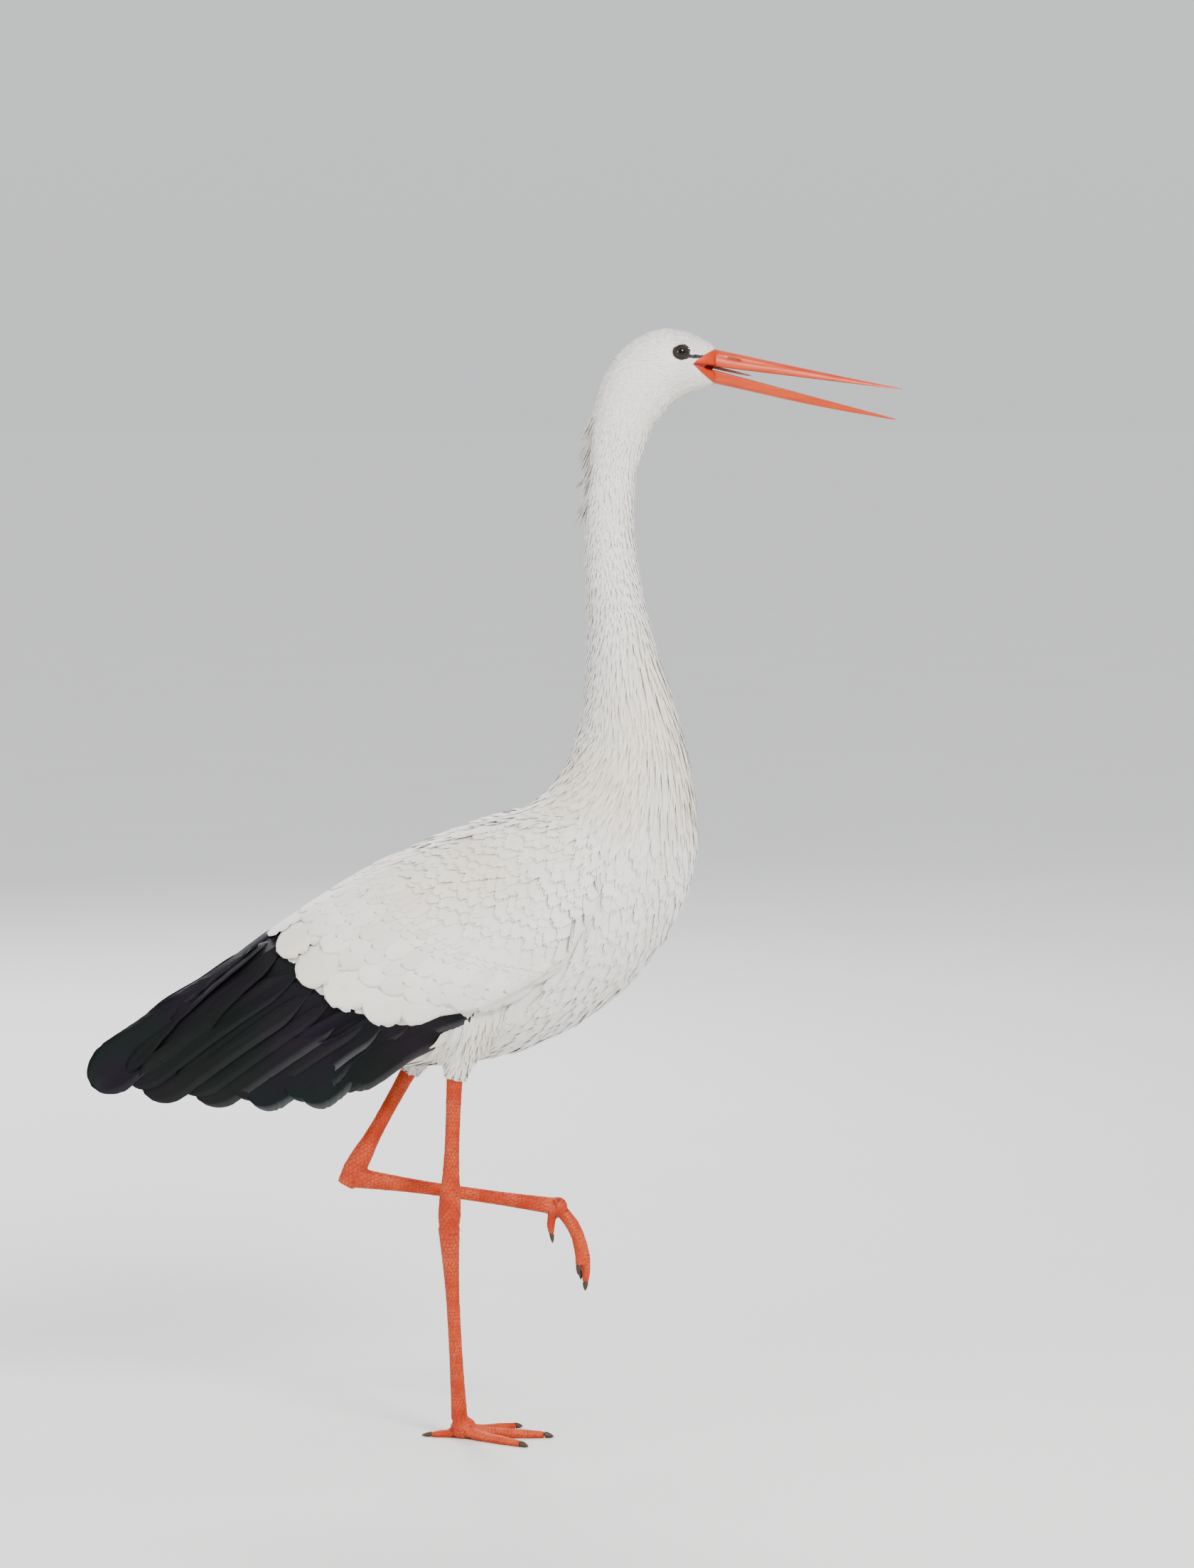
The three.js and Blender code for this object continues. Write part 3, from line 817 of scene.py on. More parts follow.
def head_skin():
    """The head, with the roots of both halves of the bill, which the horn slips over."""
    roots = [horn_bill(n, up, -0.05, 0.13, 14)[:2] for n, up in MANDIBLES.items()]
    flesh = node_mesh("head", "right_eye", "left_eye", "neck_upper")
    throat = ball(GAPE + (9, 0, -2.2), (9.5, 8.5, 4.5))
    points, faces = remeshed(*gathered([flesh, throat, *roots]), HEAD_VOXEL, relax=7, swell=0.3)
    shoulder = step(BILL_ROOT_X - 16, BILL_ROOT_X - 4, points[:, 0])
    points = calmed(points, faces, 0.5 * shoulder * (1 - inside_mouth(points)), 22)
    normals = normals_of(points, faces)
    slim = 1.5 * fall(NECK_TOP - 13, NECK_TOP - 6, points[:, 2])
    points = points - normals * (coat_depth(points) + 0.3 + slim)[:, None]
    points, faces = edited(points, faces, finer_face)
    # the lids: a rounded rim on the ball, open in the middle, creased where they meet the face
    ring = eye_ring(points)
    rim = EYE_RADIUS + 0.15 + 0.75 * step(1.0, 1.14, ring) * (1 - 0.5 * step(1.25, 1.6, ring))
    rim = rim - 0.30 * step(1.32, 1.42, ring) * fall(1.42, 1.55, ring)
    for side, eye in EYES.items():
        d = points - eye
        want = mix(rim, np.linalg.norm(d, axis=1), step(1.35, 2.0, ring))
        want = mix(EYE_RADIUS - 1.6, want, step(0.93, 1.0, ring))
        near = (ring < 2.0) & (points[:, 1] * side > 0)
        points[near] = eye + unit(d[near]) * want[near][:, None]
    return points, faces


def body_skin():
    nodes = ("trunk", *NECK, *WINGS, *THIGHS)
    points, faces = remeshed(*node_mesh(*nodes), BODY_VOXEL, relax=6, swell=0.7)
    off_wing = step(1.5, 5.0, gap_to(WING_TREE, points))
    depth = mix(WING_DEPTH, coat_depth(points), off_wing) + 0.7
    return points - normals_of(points, faces) * depth[:, None], faces


def below_head(bm):
    """Cuts a mesh off inside the head's skin, and caps it."""
    level = (0, 0, (NECK_TOP - 12) * MM)
    geometry = bm.verts[:] + bm.edges[:] + bm.faces[:]
    bmesh.ops.bisect_plane(
        bm, geom=geometry, plane_co=level, plane_no=(0, 0, 1), clear_outer=True
    )
    bmesh.ops.holes_fill(bm, edges=[e for e in bm.edges if e.is_boundary], sides=0)
    bmesh.ops.triangulate(bm, faces=bm.faces[:])


def whole_skin():
    """The one skin, and for each of its points how much it is leg and how deep in a groove; and
    the skin without the legs, to lay feathers on."""
    low, high = edited(*body_skin(), below_head), head_skin()
    low = modified(*low, DECIMATE={"ratio": 0.5, "use_collapse_triangulate": True})
    points, faces = joined(low, high)
    x, y, z = points.T
    seam = step(NECK_TOP - 40, NECK_TOP - 20, z) * fall(-4, 14, z - NECK_TOP)
    back = step(60, 15, np.abs(y)) * step(470, 520, z) * fall(640, 700, z)
    share = np.maximum(seam, back * step(-130, -90, x) * fall(90, 120, x))
    flesh = made = calmed(points, faces, 0.5 * share, 30), faces
    legs = [leg_skin(which) for which in SIDES]
    for *mesh, _ in legs:
        made = joined(made, mesh)
    points, faces = made
    leg, deep = np.zeros((2, len(points)))
    rows = np.flatnonzero(points[:, 2] < LEG_TOP)
    index, gap = nearest_index(np.concatenate([p for p, _, _ in legs]), points[rows])
    on_leg = gap < 0.4
    leg[rows[on_leg]] = 1
    deep[rows[on_leg]] = np.concatenate([g for _, _, g in legs])[index[on_leg]]
    return points, faces, leg, deep, flesh


# ---- bill, tongue, eyes and claws

BILL_ROWS = 110
BILL_SIDES = 60
BILL_OUTER = BILL_SIDES * 2 // 3  # those of its sides that are outside


def mandible(node, up):
    """A CAD node's start, axis, upward direction and length, and for places along it the half
    width, and the heights of its edge and ridge."""
    points, _ = node_mesh(node)
    root = points[points[:, 0] < points[:, 0].min() + 6].mean(0) * (1, 0, 1)
    axis = unit(points[points[:, 0].argmax()] * (1, 0, 1) - root)
    centres, halves, axis, _, _ = slices(node, root - axis * 30, 24, 0.01, axis)
    rise = np.array([-axis[2], 0, axis[0]]) * up
    length = (centres[-1] - centres[0]) @ axis
    at = (centres - centres[0]) @ axis / length
    tall = (centres - centres[0]) @ rise
    sizes = halves[:, 0], tall - halves[:, 1], tall + halves[:, 1]
    return centres[0], axis, rise, length, at, sizes


def horn_bill(node, up, low=-0.022, high=1.0, count=BILL_ROWS):
    """One half of the bill over its CAD node: ridged, grooved, hollowed inside, sharp at the edge.
    Returns points, faces, how much each point is in the nostril's slit, and how dark it is: painted
    shade inside and along the edge, and a darker root."""
    start, axis, rise, length, at, sizes = mandible(node, up)
    t = np.linspace(low, high, count)
    w, e, r = (np.interp(t, at, size) for size in sizes)
    close = np.sqrt(np.clip((1.004 - t) / 0.035, 0, 1))
    w, middle = w * close, (e + r) / 2
    e, r = middle + (e - middle) * close, middle + (r - middle) * close
    a = np.linspace(0, np.pi, BILL_OUTER, endpoint=False)
    b = np.linspace(0, 1, BILL_SIDES - BILL_OUTER, endpoint=False)
    across = np.concatenate([np.cos(a), -1 + 2 * b])
    arc = np.concatenate([np.sin(a), np.zeros(len(b))])
    inner = np.arange(BILL_SIDES) >= BILL_OUTER
    bulge = np.sign(across) * np.abs(across) ** (0.86 if up > 0 else 0.8)
    tall, t_in, w_in = (r - e)[:, None], np.clip(t, 0, 1)[:, None], np.maximum(w, 1)[:, None]
    if up > 0:
        # a groove runs ahead from the slit nostril, a third of the way up the side
        groove = hump(arc, 0.62, 0.13) * ~inner
        groove = groove * (0.75 * step(-0.02, 0.04, t_in) * fall(0.20, 0.42, t_in))
        slit = hump(arc, 0.60, 0.055) * ~inner
        slit = slit * step(0.055, 0.075, t_in) * fall(0.125, 0.15, t_in)
        sink = groove * 0.9 + slit * 1.5
    else:
        # the two branches meet at the chin angle, with a shallow groove along each side
        sink = hump(arc, 0.45, 0.16) * ~inner * 0.55 * fall(0.30, 0.55, t_in)
        slit = 0 * sink
    u = np.where(inner, across, bulge) * (1 - sink / w_in)
    depth = 0.30 * tall * (1 - across**2) * fall(0.82, 1.0, t_in)
    rib = 0.10 * tall * hump(across, 0, 0.16) * fall(0.6, 0.9, t_in)
    if up < 0:
        depth, rib = depth * 1.25, rib * 0.3
    v = np.where(inner, depth - rib, arc**0.92 * tall)
    # painted shade: the inside of the bill and a strip along its cutting edge, where the two halves
    # shade each other, are darker; the root is darker as the bill's own colour
    dark = np.where(inner, 0.75, 0.18 * hump(arc, 0, 0.12)) + 0.35 * fall(-0.01, 0.05, t)[:, None]
    base = start + axis * (t * length)[:, None] + rise * e[:, None]
    rings = base[:, None] + np.array([0, 1.0, 0]) * (u * w[:, None])[..., None]
    rings = rings + rise * v[..., None]
    if up < 0:
        rings, slit, dark = (x[:, ::-1] for x in (rings, slit, dark))
    slit = np.concatenate([slit.ravel(), [0.0, 0.0]])
    return *tube(rings), slit, np.concatenate([dark.ravel(), [0.6, 0.1]])


def drawn_out(node, start, cuts, rows, section, tip, least=0.0, root=0.0, sunk=0.0):
    """A CAD node as a tube of that section, (sides, 2), rounded off over a share at its tip and
    root, each at least so wide and deep, and set back into what it grows from."""
    centres, halves, axis, side, deep = slices(node, start, cuts, 0.02)
    t = np.linspace(0, 1, rows)
    close = np.sqrt(np.clip((1.01 - t) / tip, 0, 1))
    if root:
        close = close * np.sqrt(np.clip((t + 0.02) / root, 0, 1))
    size = np.maximum(through(halves, t), least) * close[:, None]
    across, up = (section[:, k] * size[:, k : k + 1] for k in (0, 1))
    rings = through(centres, t)[:, None] + side * across[..., None] + deep * up[..., None]
    rings[0] = rings[0] - axis * sunk
    return tube(rings)


def circle(sides):
    a = np.linspace(0, 2 * np.pi, sides, endpoint=False)
    return a, np.stack([np.cos(a), np.sin(a)], 1)


def tongue_shape():
    """The tongue, with a furrow along its top."""
    _, section = circle(28)
    up = np.sign(slices("tongue", GAPE, 9, 0.02)[4][2])
    section[:, 1] = section[:, 1] - 0.45 * hump(section[:, 0], 0, 0.22) * (section[:, 1] > 0)
    return drawn_out("tongue", GAPE, 9, 44, section * (1, up), 0.09, root=0.05)


def claw_shape(node, root):
    a, section = circle(16)
    section = section * (1 + 0.03 * np.cos(a * 6))[:, None]
    return drawn_out(node, root, 7, 22, section, 0.14, least=[1.3, 0.9], sunk=0.8)


def eye_ball(side):
    """The ball, a little bulged at its clear front, and each point's angle from its axis."""
    out, forward, up = eye_frame(side)
    turn = np.linspace(0.03, np.pi - 0.03, 40)
    _, section = circle(48)
    radius = EYE_RADIUS + 0.32 * fall(0.0, 0.95, turn)
    ahead, aside = ((wave(turn) * radius)[:, None, None] for wave in (np.cos, np.sin))
    around = forward * section[:, :1] + up * section[:, 1:]
    rings = EYES[side] + (out * ahead + aside * around)
    return *tube(rings), np.concatenate([np.repeat(turn, len(section)), [0.0, np.pi]])


# ---- the lie of the coat

# a place, and the way the feathers point there, on the left side; the right mirrors it
GUIDES = np.array([
    (236, 6, 1036, -1, 0.05, 0.25), (205, 10, 1050, -1, 0.1, 0.05),
    (165, 12, 1040, -0.9, 0.1, -0.45), (135, 12, 1008, -0.5, 0, -0.85),
    (122, 10, 960, -0.15, 0, -1), (212, 22, 1012, -0.95, 0.1, -0.3),
    (185, 26, 1000, -0.8, 0, -0.6), (226, 8, 992, -0.95, 0, -0.3),
    (196, 10, 975, -0.75, 0, -0.65), (172, 8, 920, -0.25, 0, -1), (140, 24, 900, -0.1, 0, -1),
    (118, 8, 830, 0.02, 0, -1), (170, 10, 820, 0.06, 0, -1), (120, 20, 740, 0, 0, -1),
    (209, 15, 690, 0.12, 0, -1), (150, 40, 700, 0.05, 0.1, -1), (108, 20, 665, -0.45, 0.1, -0.85),
    (70, 25, 610, -0.9, 0.1, -0.42), (0, 30, 570, -0.93, 0.05, -0.36),
    (-80, 30, 518, -0.85, 0.05, -0.5), (-150, 20, 455, -0.8, 0, -0.55),
    (222, 25, 560, -0.08, 0, -1), (190, 40, 470, -0.55, 0, -0.85),
    (150, 70, 520, -0.35, 0, -0.93), (130, 40, 405, -0.9, 0, -0.4), (60, 70, 440, -0.8, 0, -0.6),
    (60, 80, 520, -0.6, 0, -0.8), (40, 30, 362, -1, 0, -0.12), (-20, 60, 400, -0.95, 0, -0.25),
    (-80, 40, 352, -1, 0, 0.02), (-150, 25, 390, -0.98, 0, 0.15),
])
GUIDES = np.concatenate([GUIDES, GUIDES * (1, -1, 1, 1, -1, 1)])
THIGH_WAY = {which: unit(line[1] - line[0]) for which, line in THIGH_LINE.items()}


def lie(at, normals):
    """The way the feathers point, along the surface."""
    gap = np.linalg.norm(at[:, None] - GUIDES[None, :, :3], axis=2)
    way = (1 / (gap + 6) ** 3) @ GUIDES[:, 3:]
    for which in SIDES:
        way = mix(unit(way), THIGH_WAY[which], on_thigh(at, which)[:, None])
    return flattened(way, normals)


def march(surface, start, length, steps, sense=1.0, flow=lie):
    """Paths over a surface from each start: places and normals, (n, steps + 1, 3)."""
    path = [surface.nearest(start)]
    for _ in range(steps):
        at, normal = path[-1]
        way = flow(at, normal) * sense
        path.append(surface.nearest(at + way * (length / steps)[:, None]))
    return tuple(np.stack(values, 1) for values in zip(*path))


def along_path(values, t):
    """The value of (n, steps + 1, 3) paths at t, (n, ...) from 0 to 1."""
    n, count, _ = values.shape
    at = np.clip(t, 0, 1) * (count - 1) * 0.99999
    i = at.astype(int)
    f = (at - i)[..., None]
    rows = np.arange(n).reshape(-1, *([1] * (t.ndim - 1)))
    return values[rows, i] * (1 - f) + values[rows, i + 1] * f


def posed(places, normals, t, gap):
    """The place, normal and sideways direction of paths at t, by the line through t ± gap."""
    normal = unit(along_path(normals, t))
    ahead = unit(along_path(places, t + gap) - along_path(places, t - gap))
    return along_path(places, t), normal, unit(np.cross(normal, ahead))


# ---- an unwrap of the skin

MIDDLE = np.array([  # the middle line of the bird, from the bill's root to the tail
    (240, 1012), (203, 1015), (183, 1006), (167, 989), (155, 963), (147, 931), (142, 882),
    (144, 823), (153, 757), (164, 706), (169, 678), (165, 602), (144, 532), (104, 508), (47, 479),
    (-10, 463), (-80, 436), (-133, 415), (-163, 409), (-300, 340),
], float)
MIDDLE = np.stack([MIDDLE[:, 0], MIDDLE[:, 0] * 0, MIDDLE[:, 1]], 1)
THIGH_SPAN = {"right": 0.74, "left": 0.88}  # where each thigh starts along the unwrap
UV_MARGIN = 0.003
PATCH = 0.003  # a small feather's size on the unwrap


def unwrapped(at):
    """Where a place on the skin lies on its unwrap: along the bird's middle line, and round it."""
    spans = [(MIDDLE, 0.0, 0.72, np.ones(len(at)))]
    spans += [(THIGH_LINE[w], low, 0.12, on_thigh(at, w)) for w, low in THIGH_SPAN.items()]
    out = np.zeros((len(at), 2))
    for line, low, size, share in spans:
        _, s, off, segment = along(at, line)
        axis = unit(np.diff(line, axis=0))[segment]
        deep = np.cross([0.0, 1.0, 0.0], axis)
        turn = np.arctan2(off[:, 1], (off * deep).sum(1)) / (2 * np.pi) + 0.5
        total = np.linalg.norm(np.diff(line, axis=0), axis=1).sum()
        place = np.stack([low + size * s / total, turn], 1)
        out = np.where(share[:, None] > 0.5, place, out)
    return np.clip(out, UV_MARGIN, 1 - UV_MARGIN)


# ---- one small, one large feather

VANE_ACROSS = np.array([-1, -0.72, -0.42, -0.16, -0.035, 0, 0.035, 0.16, 0.42, 0.72, 1])


def plumes(surface, seeds, length, width, depth, pointed, locks, thick, lift=0.0, short=False):
    """Small feathers, each a thin vane of joined locks with a ragged end, laid from its root. The
    sizes are given for each seed. Returns points, faces, places on the unwrap, values for the
    material and the way up."""
    n = len(seeds)
    u = np.array([0.06, 0.55, 1.0] if short else [0.04, 0.42, 0.78, 1.0])
    v = np.linspace(-1, 1, 2 * locks + 1)
    rows, cols = len(u), len(v)
    cleft = np.arange(cols) % 2 == 0
    sharp = pointed[:, None]
    width, depth, thick, lift = (
        np.broadcast_to(x, (n,))[:, None, None] for x in (width, depth, thick, lift)
    )
    end = 1 - mix(0.40, 0.55, sharp) * np.abs(v) ** mix(2.6, 1.1, sharp)
    end = end + rng.normal(0, 0.035, (n, cols))
    end = end - np.where(cleft, rng.uniform(0.05, 0.20, (n, cols)), 0)
    s = u[None, :, None] * end[:, None, :]
    at, normal, side = posed(*march(surface, seeds, length, 3), s, 0.06)
    blunt = np.interp(u, [0, 0.42, 0.78, 1], [0.42, 1.0, 0.98, 0.80])
    slim = np.interp(u, [0, 0.42, 0.78, 1], [0.42, 1.0, 0.66, 0.26])
    wide = mix(blunt, slim, sharp)[:, :, None] * (width / 2)
    across = (v + rng.normal(0, 0.05, (n, 1, cols)) * u[None, :, None]) * wide
    across = across + rng.normal(0, 0.05, (n, 1, 1)) * width * s**2
    rise = s * (1.5 - 0.5 * s)
    sunk = 0.2 if short else 0.5
    high = rise * (depth - thick) - sunk * (1 - s) + 0.2 * sunk
    high = high + rng.normal(0, 0.10, (n, 1, 1)) * np.minimum(depth, 2.5) * s
    high = high + lift * s**2.2
    high = high - across**2 / (6 * width)
    ridge = np.where(cleft, -0.22, 0.22) * thick * step(0.1, 0.6, s)
    top = at + side * across[..., None] + normal * (high + ridge)[..., None]
    plate = (thick * (1 - 0.6 * v**2))[..., None]

    def both(upper, lower=None):
        """Values of the upper grid, with those of the lower one, which has no rim, after them."""
        grids = upper, (upper if lower is None else lower)[:, 1:-1, 1:-1]
        return np.concatenate([g.reshape(n, -1, *upper.shape[3:]) for g in grids], 1)

    upper = np.arange(rows * cols).reshape(rows, cols)
    under = upper.copy()
    under[1:-1, 1:-1] = rows * cols + np.arange((rows - 2) * (cols - 2)).reshape(rows - 2, -1)
    one = np.concatenate([split(*quads_of(sheet)) for sheet in (upper, under[:, ::-1])])
    points = both(top, top - normal * plate)
    faces = repeated(one, n, points.shape[1])
    local = np.stack(np.broadcast_arrays(u[None, :, None] * 2 - 1, v[None, None, :]), -1)
    local = both(np.broadcast_to(local, (n, rows, cols, 2)))
    uv = unwrapped(seeds)[:, None] + local * PATCH / 2.6
    # painted shade: a small feather is greyer toward its root and in the clefts between its locks,
    # where the feathers over it shade it, with a random tone for each feather on top
    tint = both(s * 0.4 + np.where(cleft, 0.0, 0.25) + rng.random((n, 1, 1)) * 0.35)
    return (points.reshape(-1, 3), faces, uv.reshape(-1, 2), {"tint": tint.reshape(-1)},
            both(normal).reshape(-1, 3))


def vanes(places, normals, barbs, width, rows, camber, blunt, splits, worn=0.24, tilt=0.0,
          high=(0, 0), thick=0.5, surface=None, silver=None):
    """Whole feathers along paths, each with a shaft and two vanes with so many barbs, and laid on
    a surface if there is one. Returns points, faces, places on an atlas with a cell for each side
    of a feather, and values for the material."""
    n, v, cols = len(places), VANE_ACROSS, len(VANE_ACROSS)
    u = np.linspace(0, 1, rows)
    end = u + (1 - u) * 0.42 * np.minimum(1, u * 4)
    outline = np.sqrt(np.clip(1 - ((end - blunt) / (1 - blunt)).clip(0) ** 2, 0, 1))
    outline = outline * mix(0.30, 1.0, step(0, 0.30, end))
    edge = outline[None, :, None] * (1 + rng.normal(0, 0.09 * worn, (n, rows, 1)))
    for _ in range(splits):
        where = rng.uniform(0.35, 0.97, (n, 1, 1))
        deep = rng.uniform(0.2, 1.0, (n, 1, 1)) * worn
        edge = edge * (1 - deep * np.exp(-(((u[None, :, None] - where) * rows / 0.8) ** 2)))
    s = np.broadcast_to(mix(u[:, None], end[:, None], np.abs(v) ** 1.15), (n, rows, cols))
    at, normal, side = posed(places, normals, s, 0.04)
    flat = at + side * (v * edge * (width / 2)[:, None, None])[..., None]
    if surface:
        flat, normal = (x.reshape(at.shape) for x in surface.nearest(flat.reshape(-1, 3)))
    rise = mix(high[0], high[1], 1 - (1 - s) ** 1.8)
    rise = rise + camber * (1 - v**2) * mix(0.5, 1.0, s) + tilt * v
    shaft = hump(v, 0, 0.03) * 0.55 * (1.05 - s)
    plate = thick * (1 - 0.55 * np.abs(v) ** 2)
    top = flat + normal * (rise + shaft)[..., None]
    low = flat + normal * (rise - plate - shaft * 0.6)[..., None]
    points = np.concatenate([top.reshape(n, -1, 3), low.reshape(n, -1, 3)], 1)
    m = rows * cols
    grid = np.arange(m).reshape(rows, cols)
    quads = np.stack(quads_of(grid), -1).reshape(-1, 4)
    ring = np.concatenate([grid[0, :-1], grid[:-1, -1], grid[-1, :0:-1], grid[:0:-1, 0]])
    after = np.roll(ring, -1)
    rim = np.stack([ring, after, after + m, ring + m], 1)
    one = oriented(points[0], split(*np.concatenate([quads, quads[:, ::-1] + m, rim]).T))
    cells_aside = math.ceil(math.sqrt(n * 2))
    cell = np.arange(n * 2)
    corner = np.stack([cell % cells_aside, cell // cells_aside], 1) / cells_aside
    local = np.stack(np.broadcast_arrays(0.5 + 0.46 * v, 0.04 + 0.92 * u[:, None]), -1)
    uv = corner.reshape(n, 2, 1, 2) + local.reshape(1, 1, m, 2) / cells_aside
    values = {
        "barb": u[:, None] * barbs[:, None, None, None], "tint": rng.random((n, 1, 1, 1)),
        "silver": silver(v, s[:, None]) if silver else 0.0,
    }
    values = {k: np.broadcast_to(x, (n, 2, rows, cols)).reshape(-1) for k, x in values.items()}
    return points.reshape(-1, 3), repeated(one, n, 2 * m), uv.reshape(-1, 2), values


def vane(places, normals, barbs, width, **shape):
    """One large feather along a path."""
    return vanes(places[None], normals[None], np.array([barbs]), np.array([width]), **shape)


def bundled(made):
    """Several sets of large feathers as one."""
    points, faces = gathered([m[:2] for m in made])
    values = {key: np.concatenate([m[3][key] for m in made]) for key in made[0][3]}
    return points, faces, np.concatenate([m[2] for m in made]), values


SOFTNESS = 0.6  # how much a small feather is lit as the body under it is


def coat(name, made, kind, *replaced):
    """A piece from a set of feathers."""
    points, faces, uv, values, *upward = made
    if kind == "white_plumage":
        values = {"tint": values["tint"]}
    ob = piece(name, points, faces, kind, replaced, **values)
    layer = ob.data.uv_layers.new(name="OFBake")
    layer.data.foreach_set("uv", uv[faces.ravel()].astype(np.float32).ravel())
    for up in upward:
        # each face of a feather has its own normals, as its edge is sharp
        below = (face_normals(points, faces) * up[faces[:, 0]]).sum(1) < 0
        sheets = faces + below[:, None] * len(points)
        own = normals_of(np.concatenate([points, points]), sheets)
        soft = unit(own * (1 - SOFTNESS) + np.concatenate([up, -up]) * SOFTNESS)
        ob.data.normals_split_custom_set(soft[sheets.ravel()])


# ---- body feathers

COVERT_REACH = 118.0  # how far up the wing the large coverts go; small feathers cover the rest
UNDER_WING = 16.0  # no small feathers where something lies this near over them
FACE_LOW = 975  # the face is above this height,
WING_TOP = 560  # the wing's fore edge below this one,
BELLY_TOP = 445  # and the belly below this one
EDGE_WIDTH = 7.0  # how far from the trunk the wing's fore edge is
RUFF_COUNT = 260
RUFF_HEIGHTS = (893, 978)
RUFF_TUFT = 26  # the height of a tuft of the ruff
THIN = ([700, 950, 975], [0.36, 0.24, 0.16])  # heights, and how thick a small feather is there


def up_slope(at):
    """How far up its slope from the coverts' tips a place on the wing is."""
    return ((at[:, 0] + 190) * 0.466 + (at[:, 2] - 494) * 0.886) / 0.855


def tuft_sizes(at):
    """For places on the skin: spacing, length, width and pointedness of the feathers there."""
    x, _, z = at.T
    nape = step(930, 1000, z)
    shares = (
        step(700, 600, z), step(800, 720, z) * step(560, 640, z) * step(120, 150, x), nape,
        nape * step(160, 222, x), on_thigh(at, "right"), on_thigh(at, "left"),
    )
    rows = (  # neck, body, breast plumes, crown and nape, face, thighs
        (3.5, 8.6, 6.0, 2.1, 1.45, 5.0), (17.0, 36.0, 50.0, 11.0, 5.2, 26.0),
        (6.0, 17.0, 9.5, 3.6, 2.2, 7.5), (0.55, 0.12, 0.85, 0.5, 0.4, 0.6),
    )
    return [layered(first, *zip((*then, then[-1]), shares)) for first, *then in rows]


def near_wing(at):
    return gap_to(WING_TREE, at, 6.0) < WING_DEPTH + 1.4


def bare_places(at):
    """Where the skin has no small feathers: bare skin, horn, eyes and under the large coverts."""
    high = at[:, 2] > FACE_LOW
    bare = (bare_face(at) > 0.4) | (horn_zone(at) * high > 0.3) | (inside_mouth(at) * high > 0.2)
    bare |= (at[:, 0] > BILL_ROOT_X - 1) | (eye_ring(at) < 1.08)
    return bare | (near_wing(at) & (up_slope(at) < COVERT_REACH))


def covered(surface, outline, seeds, paths, ways, depth, cover, black_cover):
    """Whether a feather would lie in the hollow under a wing, under its large feathers or over an
    eye."""
    place, normal = surface.nearest(seeds)
    hidden = blocked(outline.tree, place + normal * (depth + 3.0)[:, None], normal, UNDER_WING)
    hidden |= gap_to(outline.tree, seeds) >= depth + 2.5
    white, black = (
        [blocked(tree, paths[:, k], ways[:, k], reach) for k in range(3)]
        for tree, reach in ((cover, 12.0), (black_cover, UNDER_WING))
    )
    hidden |= (white[0] & white[2]) | (
        (seeds[:, 2] < BELLY_TOP) & (white[0] | white[1] | white[2])
    )
    return hidden | black[0] | black[1] | black[2] | (eye_ring(paths[:, 2]) <= 1.15)


def body_feathers(surface, outline, cover, black_cover):
    """All small feathers, as a set for each piece."""
    middle = surface.points[surface.faces].mean(1)
    seeds = surface.scatter(np.where(bare_places(middle), 0, tuft_sizes(middle)[0]))
    x, y, z = seeds.T
    winged = near_wing(seeds)
    depth = np.maximum(np.where(winged, WING_DEPTH + 1.2, coat_depth(seeds)), 0.8) + 0.1
    length = tuft_sizes(seeds)[1]
    paths, ways = march(surface, seeds, length * 0.9, 2)
    clear = ~covered(surface, outline, seeds, paths, ways, depth, cover, black_cover)
    room = np.full(len(seeds), 99.0)
    for which in SIDES:
        left = ((THIGH_LINE[which][1] - seeds) * THIGH_WAY[which]).sum(1)
        room = np.where(on_thigh(seeds, which) > 0.5, left + 1.0, room)
    clear &= room > 4
    # those ahead of the wing stop at its fore edge, and those along the edge stand out over them
    ahead = ~winged & (x > -50) & (z < WING_TOP) & (np.abs(y) > 30)
    for k, share in ((2, 0.55), (1, 0.3)):
        room = np.where(ahead & near_wing(paths[:, k]), length * share, room)
    edge = gap_to(tree_of(*node_mesh("trunk")), seeds, 30.0)
    depth = np.where(winged & (z < WING_TOP) & (edge < EDGE_WIDTH), depth + 1.4, depth)
    depth = np.where(ahead & (gap_to(WING_TREE, seeds, 30.0) < 15), 2.0, depth)
    seeds, depth, winged, room = seeds[clear], depth[clear], winged[clear], room[clear]
    _, length, width, pointed = tuft_sizes(seeds)
    length = length * rng.uniform(0.9, 1.12, len(seeds)) * np.where(winged, 0.62, 1.0)
    length = np.minimum(length, room)
    x, _, z = seeds.T
    right, left = (on_thigh(seeds, w) > 0.5 for w in SIDES)
    trunk = ~(right | left)
    kinds = (  # the first that holds is a feather's own; and the number of its locks
        ("face", (z > FACE_LOW) & (x > 185), 2), ("crown", (z > 955) | ((x > 165) & (z > 935)), 3),
        ("neck", z > 830, 4), ("throat", z > 700, 5), ("breast", trunk & (x > 96) & (z >= 530), 6),
        ("keel", trunk & (x > 96), 6), ("back", trunk & (z > 440), 6), ("belly", trunk, 6),
        ("right_thigh", right, 4), ("left_thigh", left, 4),
    )
    out, free = {}, np.ones(len(seeds), bool)
    for name, here, locks in kinds:
        mine = free & here
        free &= ~here
        out[name] = plumes(
            surface, *(values[mine] for values in (seeds, length, width, depth, pointed)), locks,
            np.interp(z[mine], *THIN), short=locks < 4,
        )
    return out


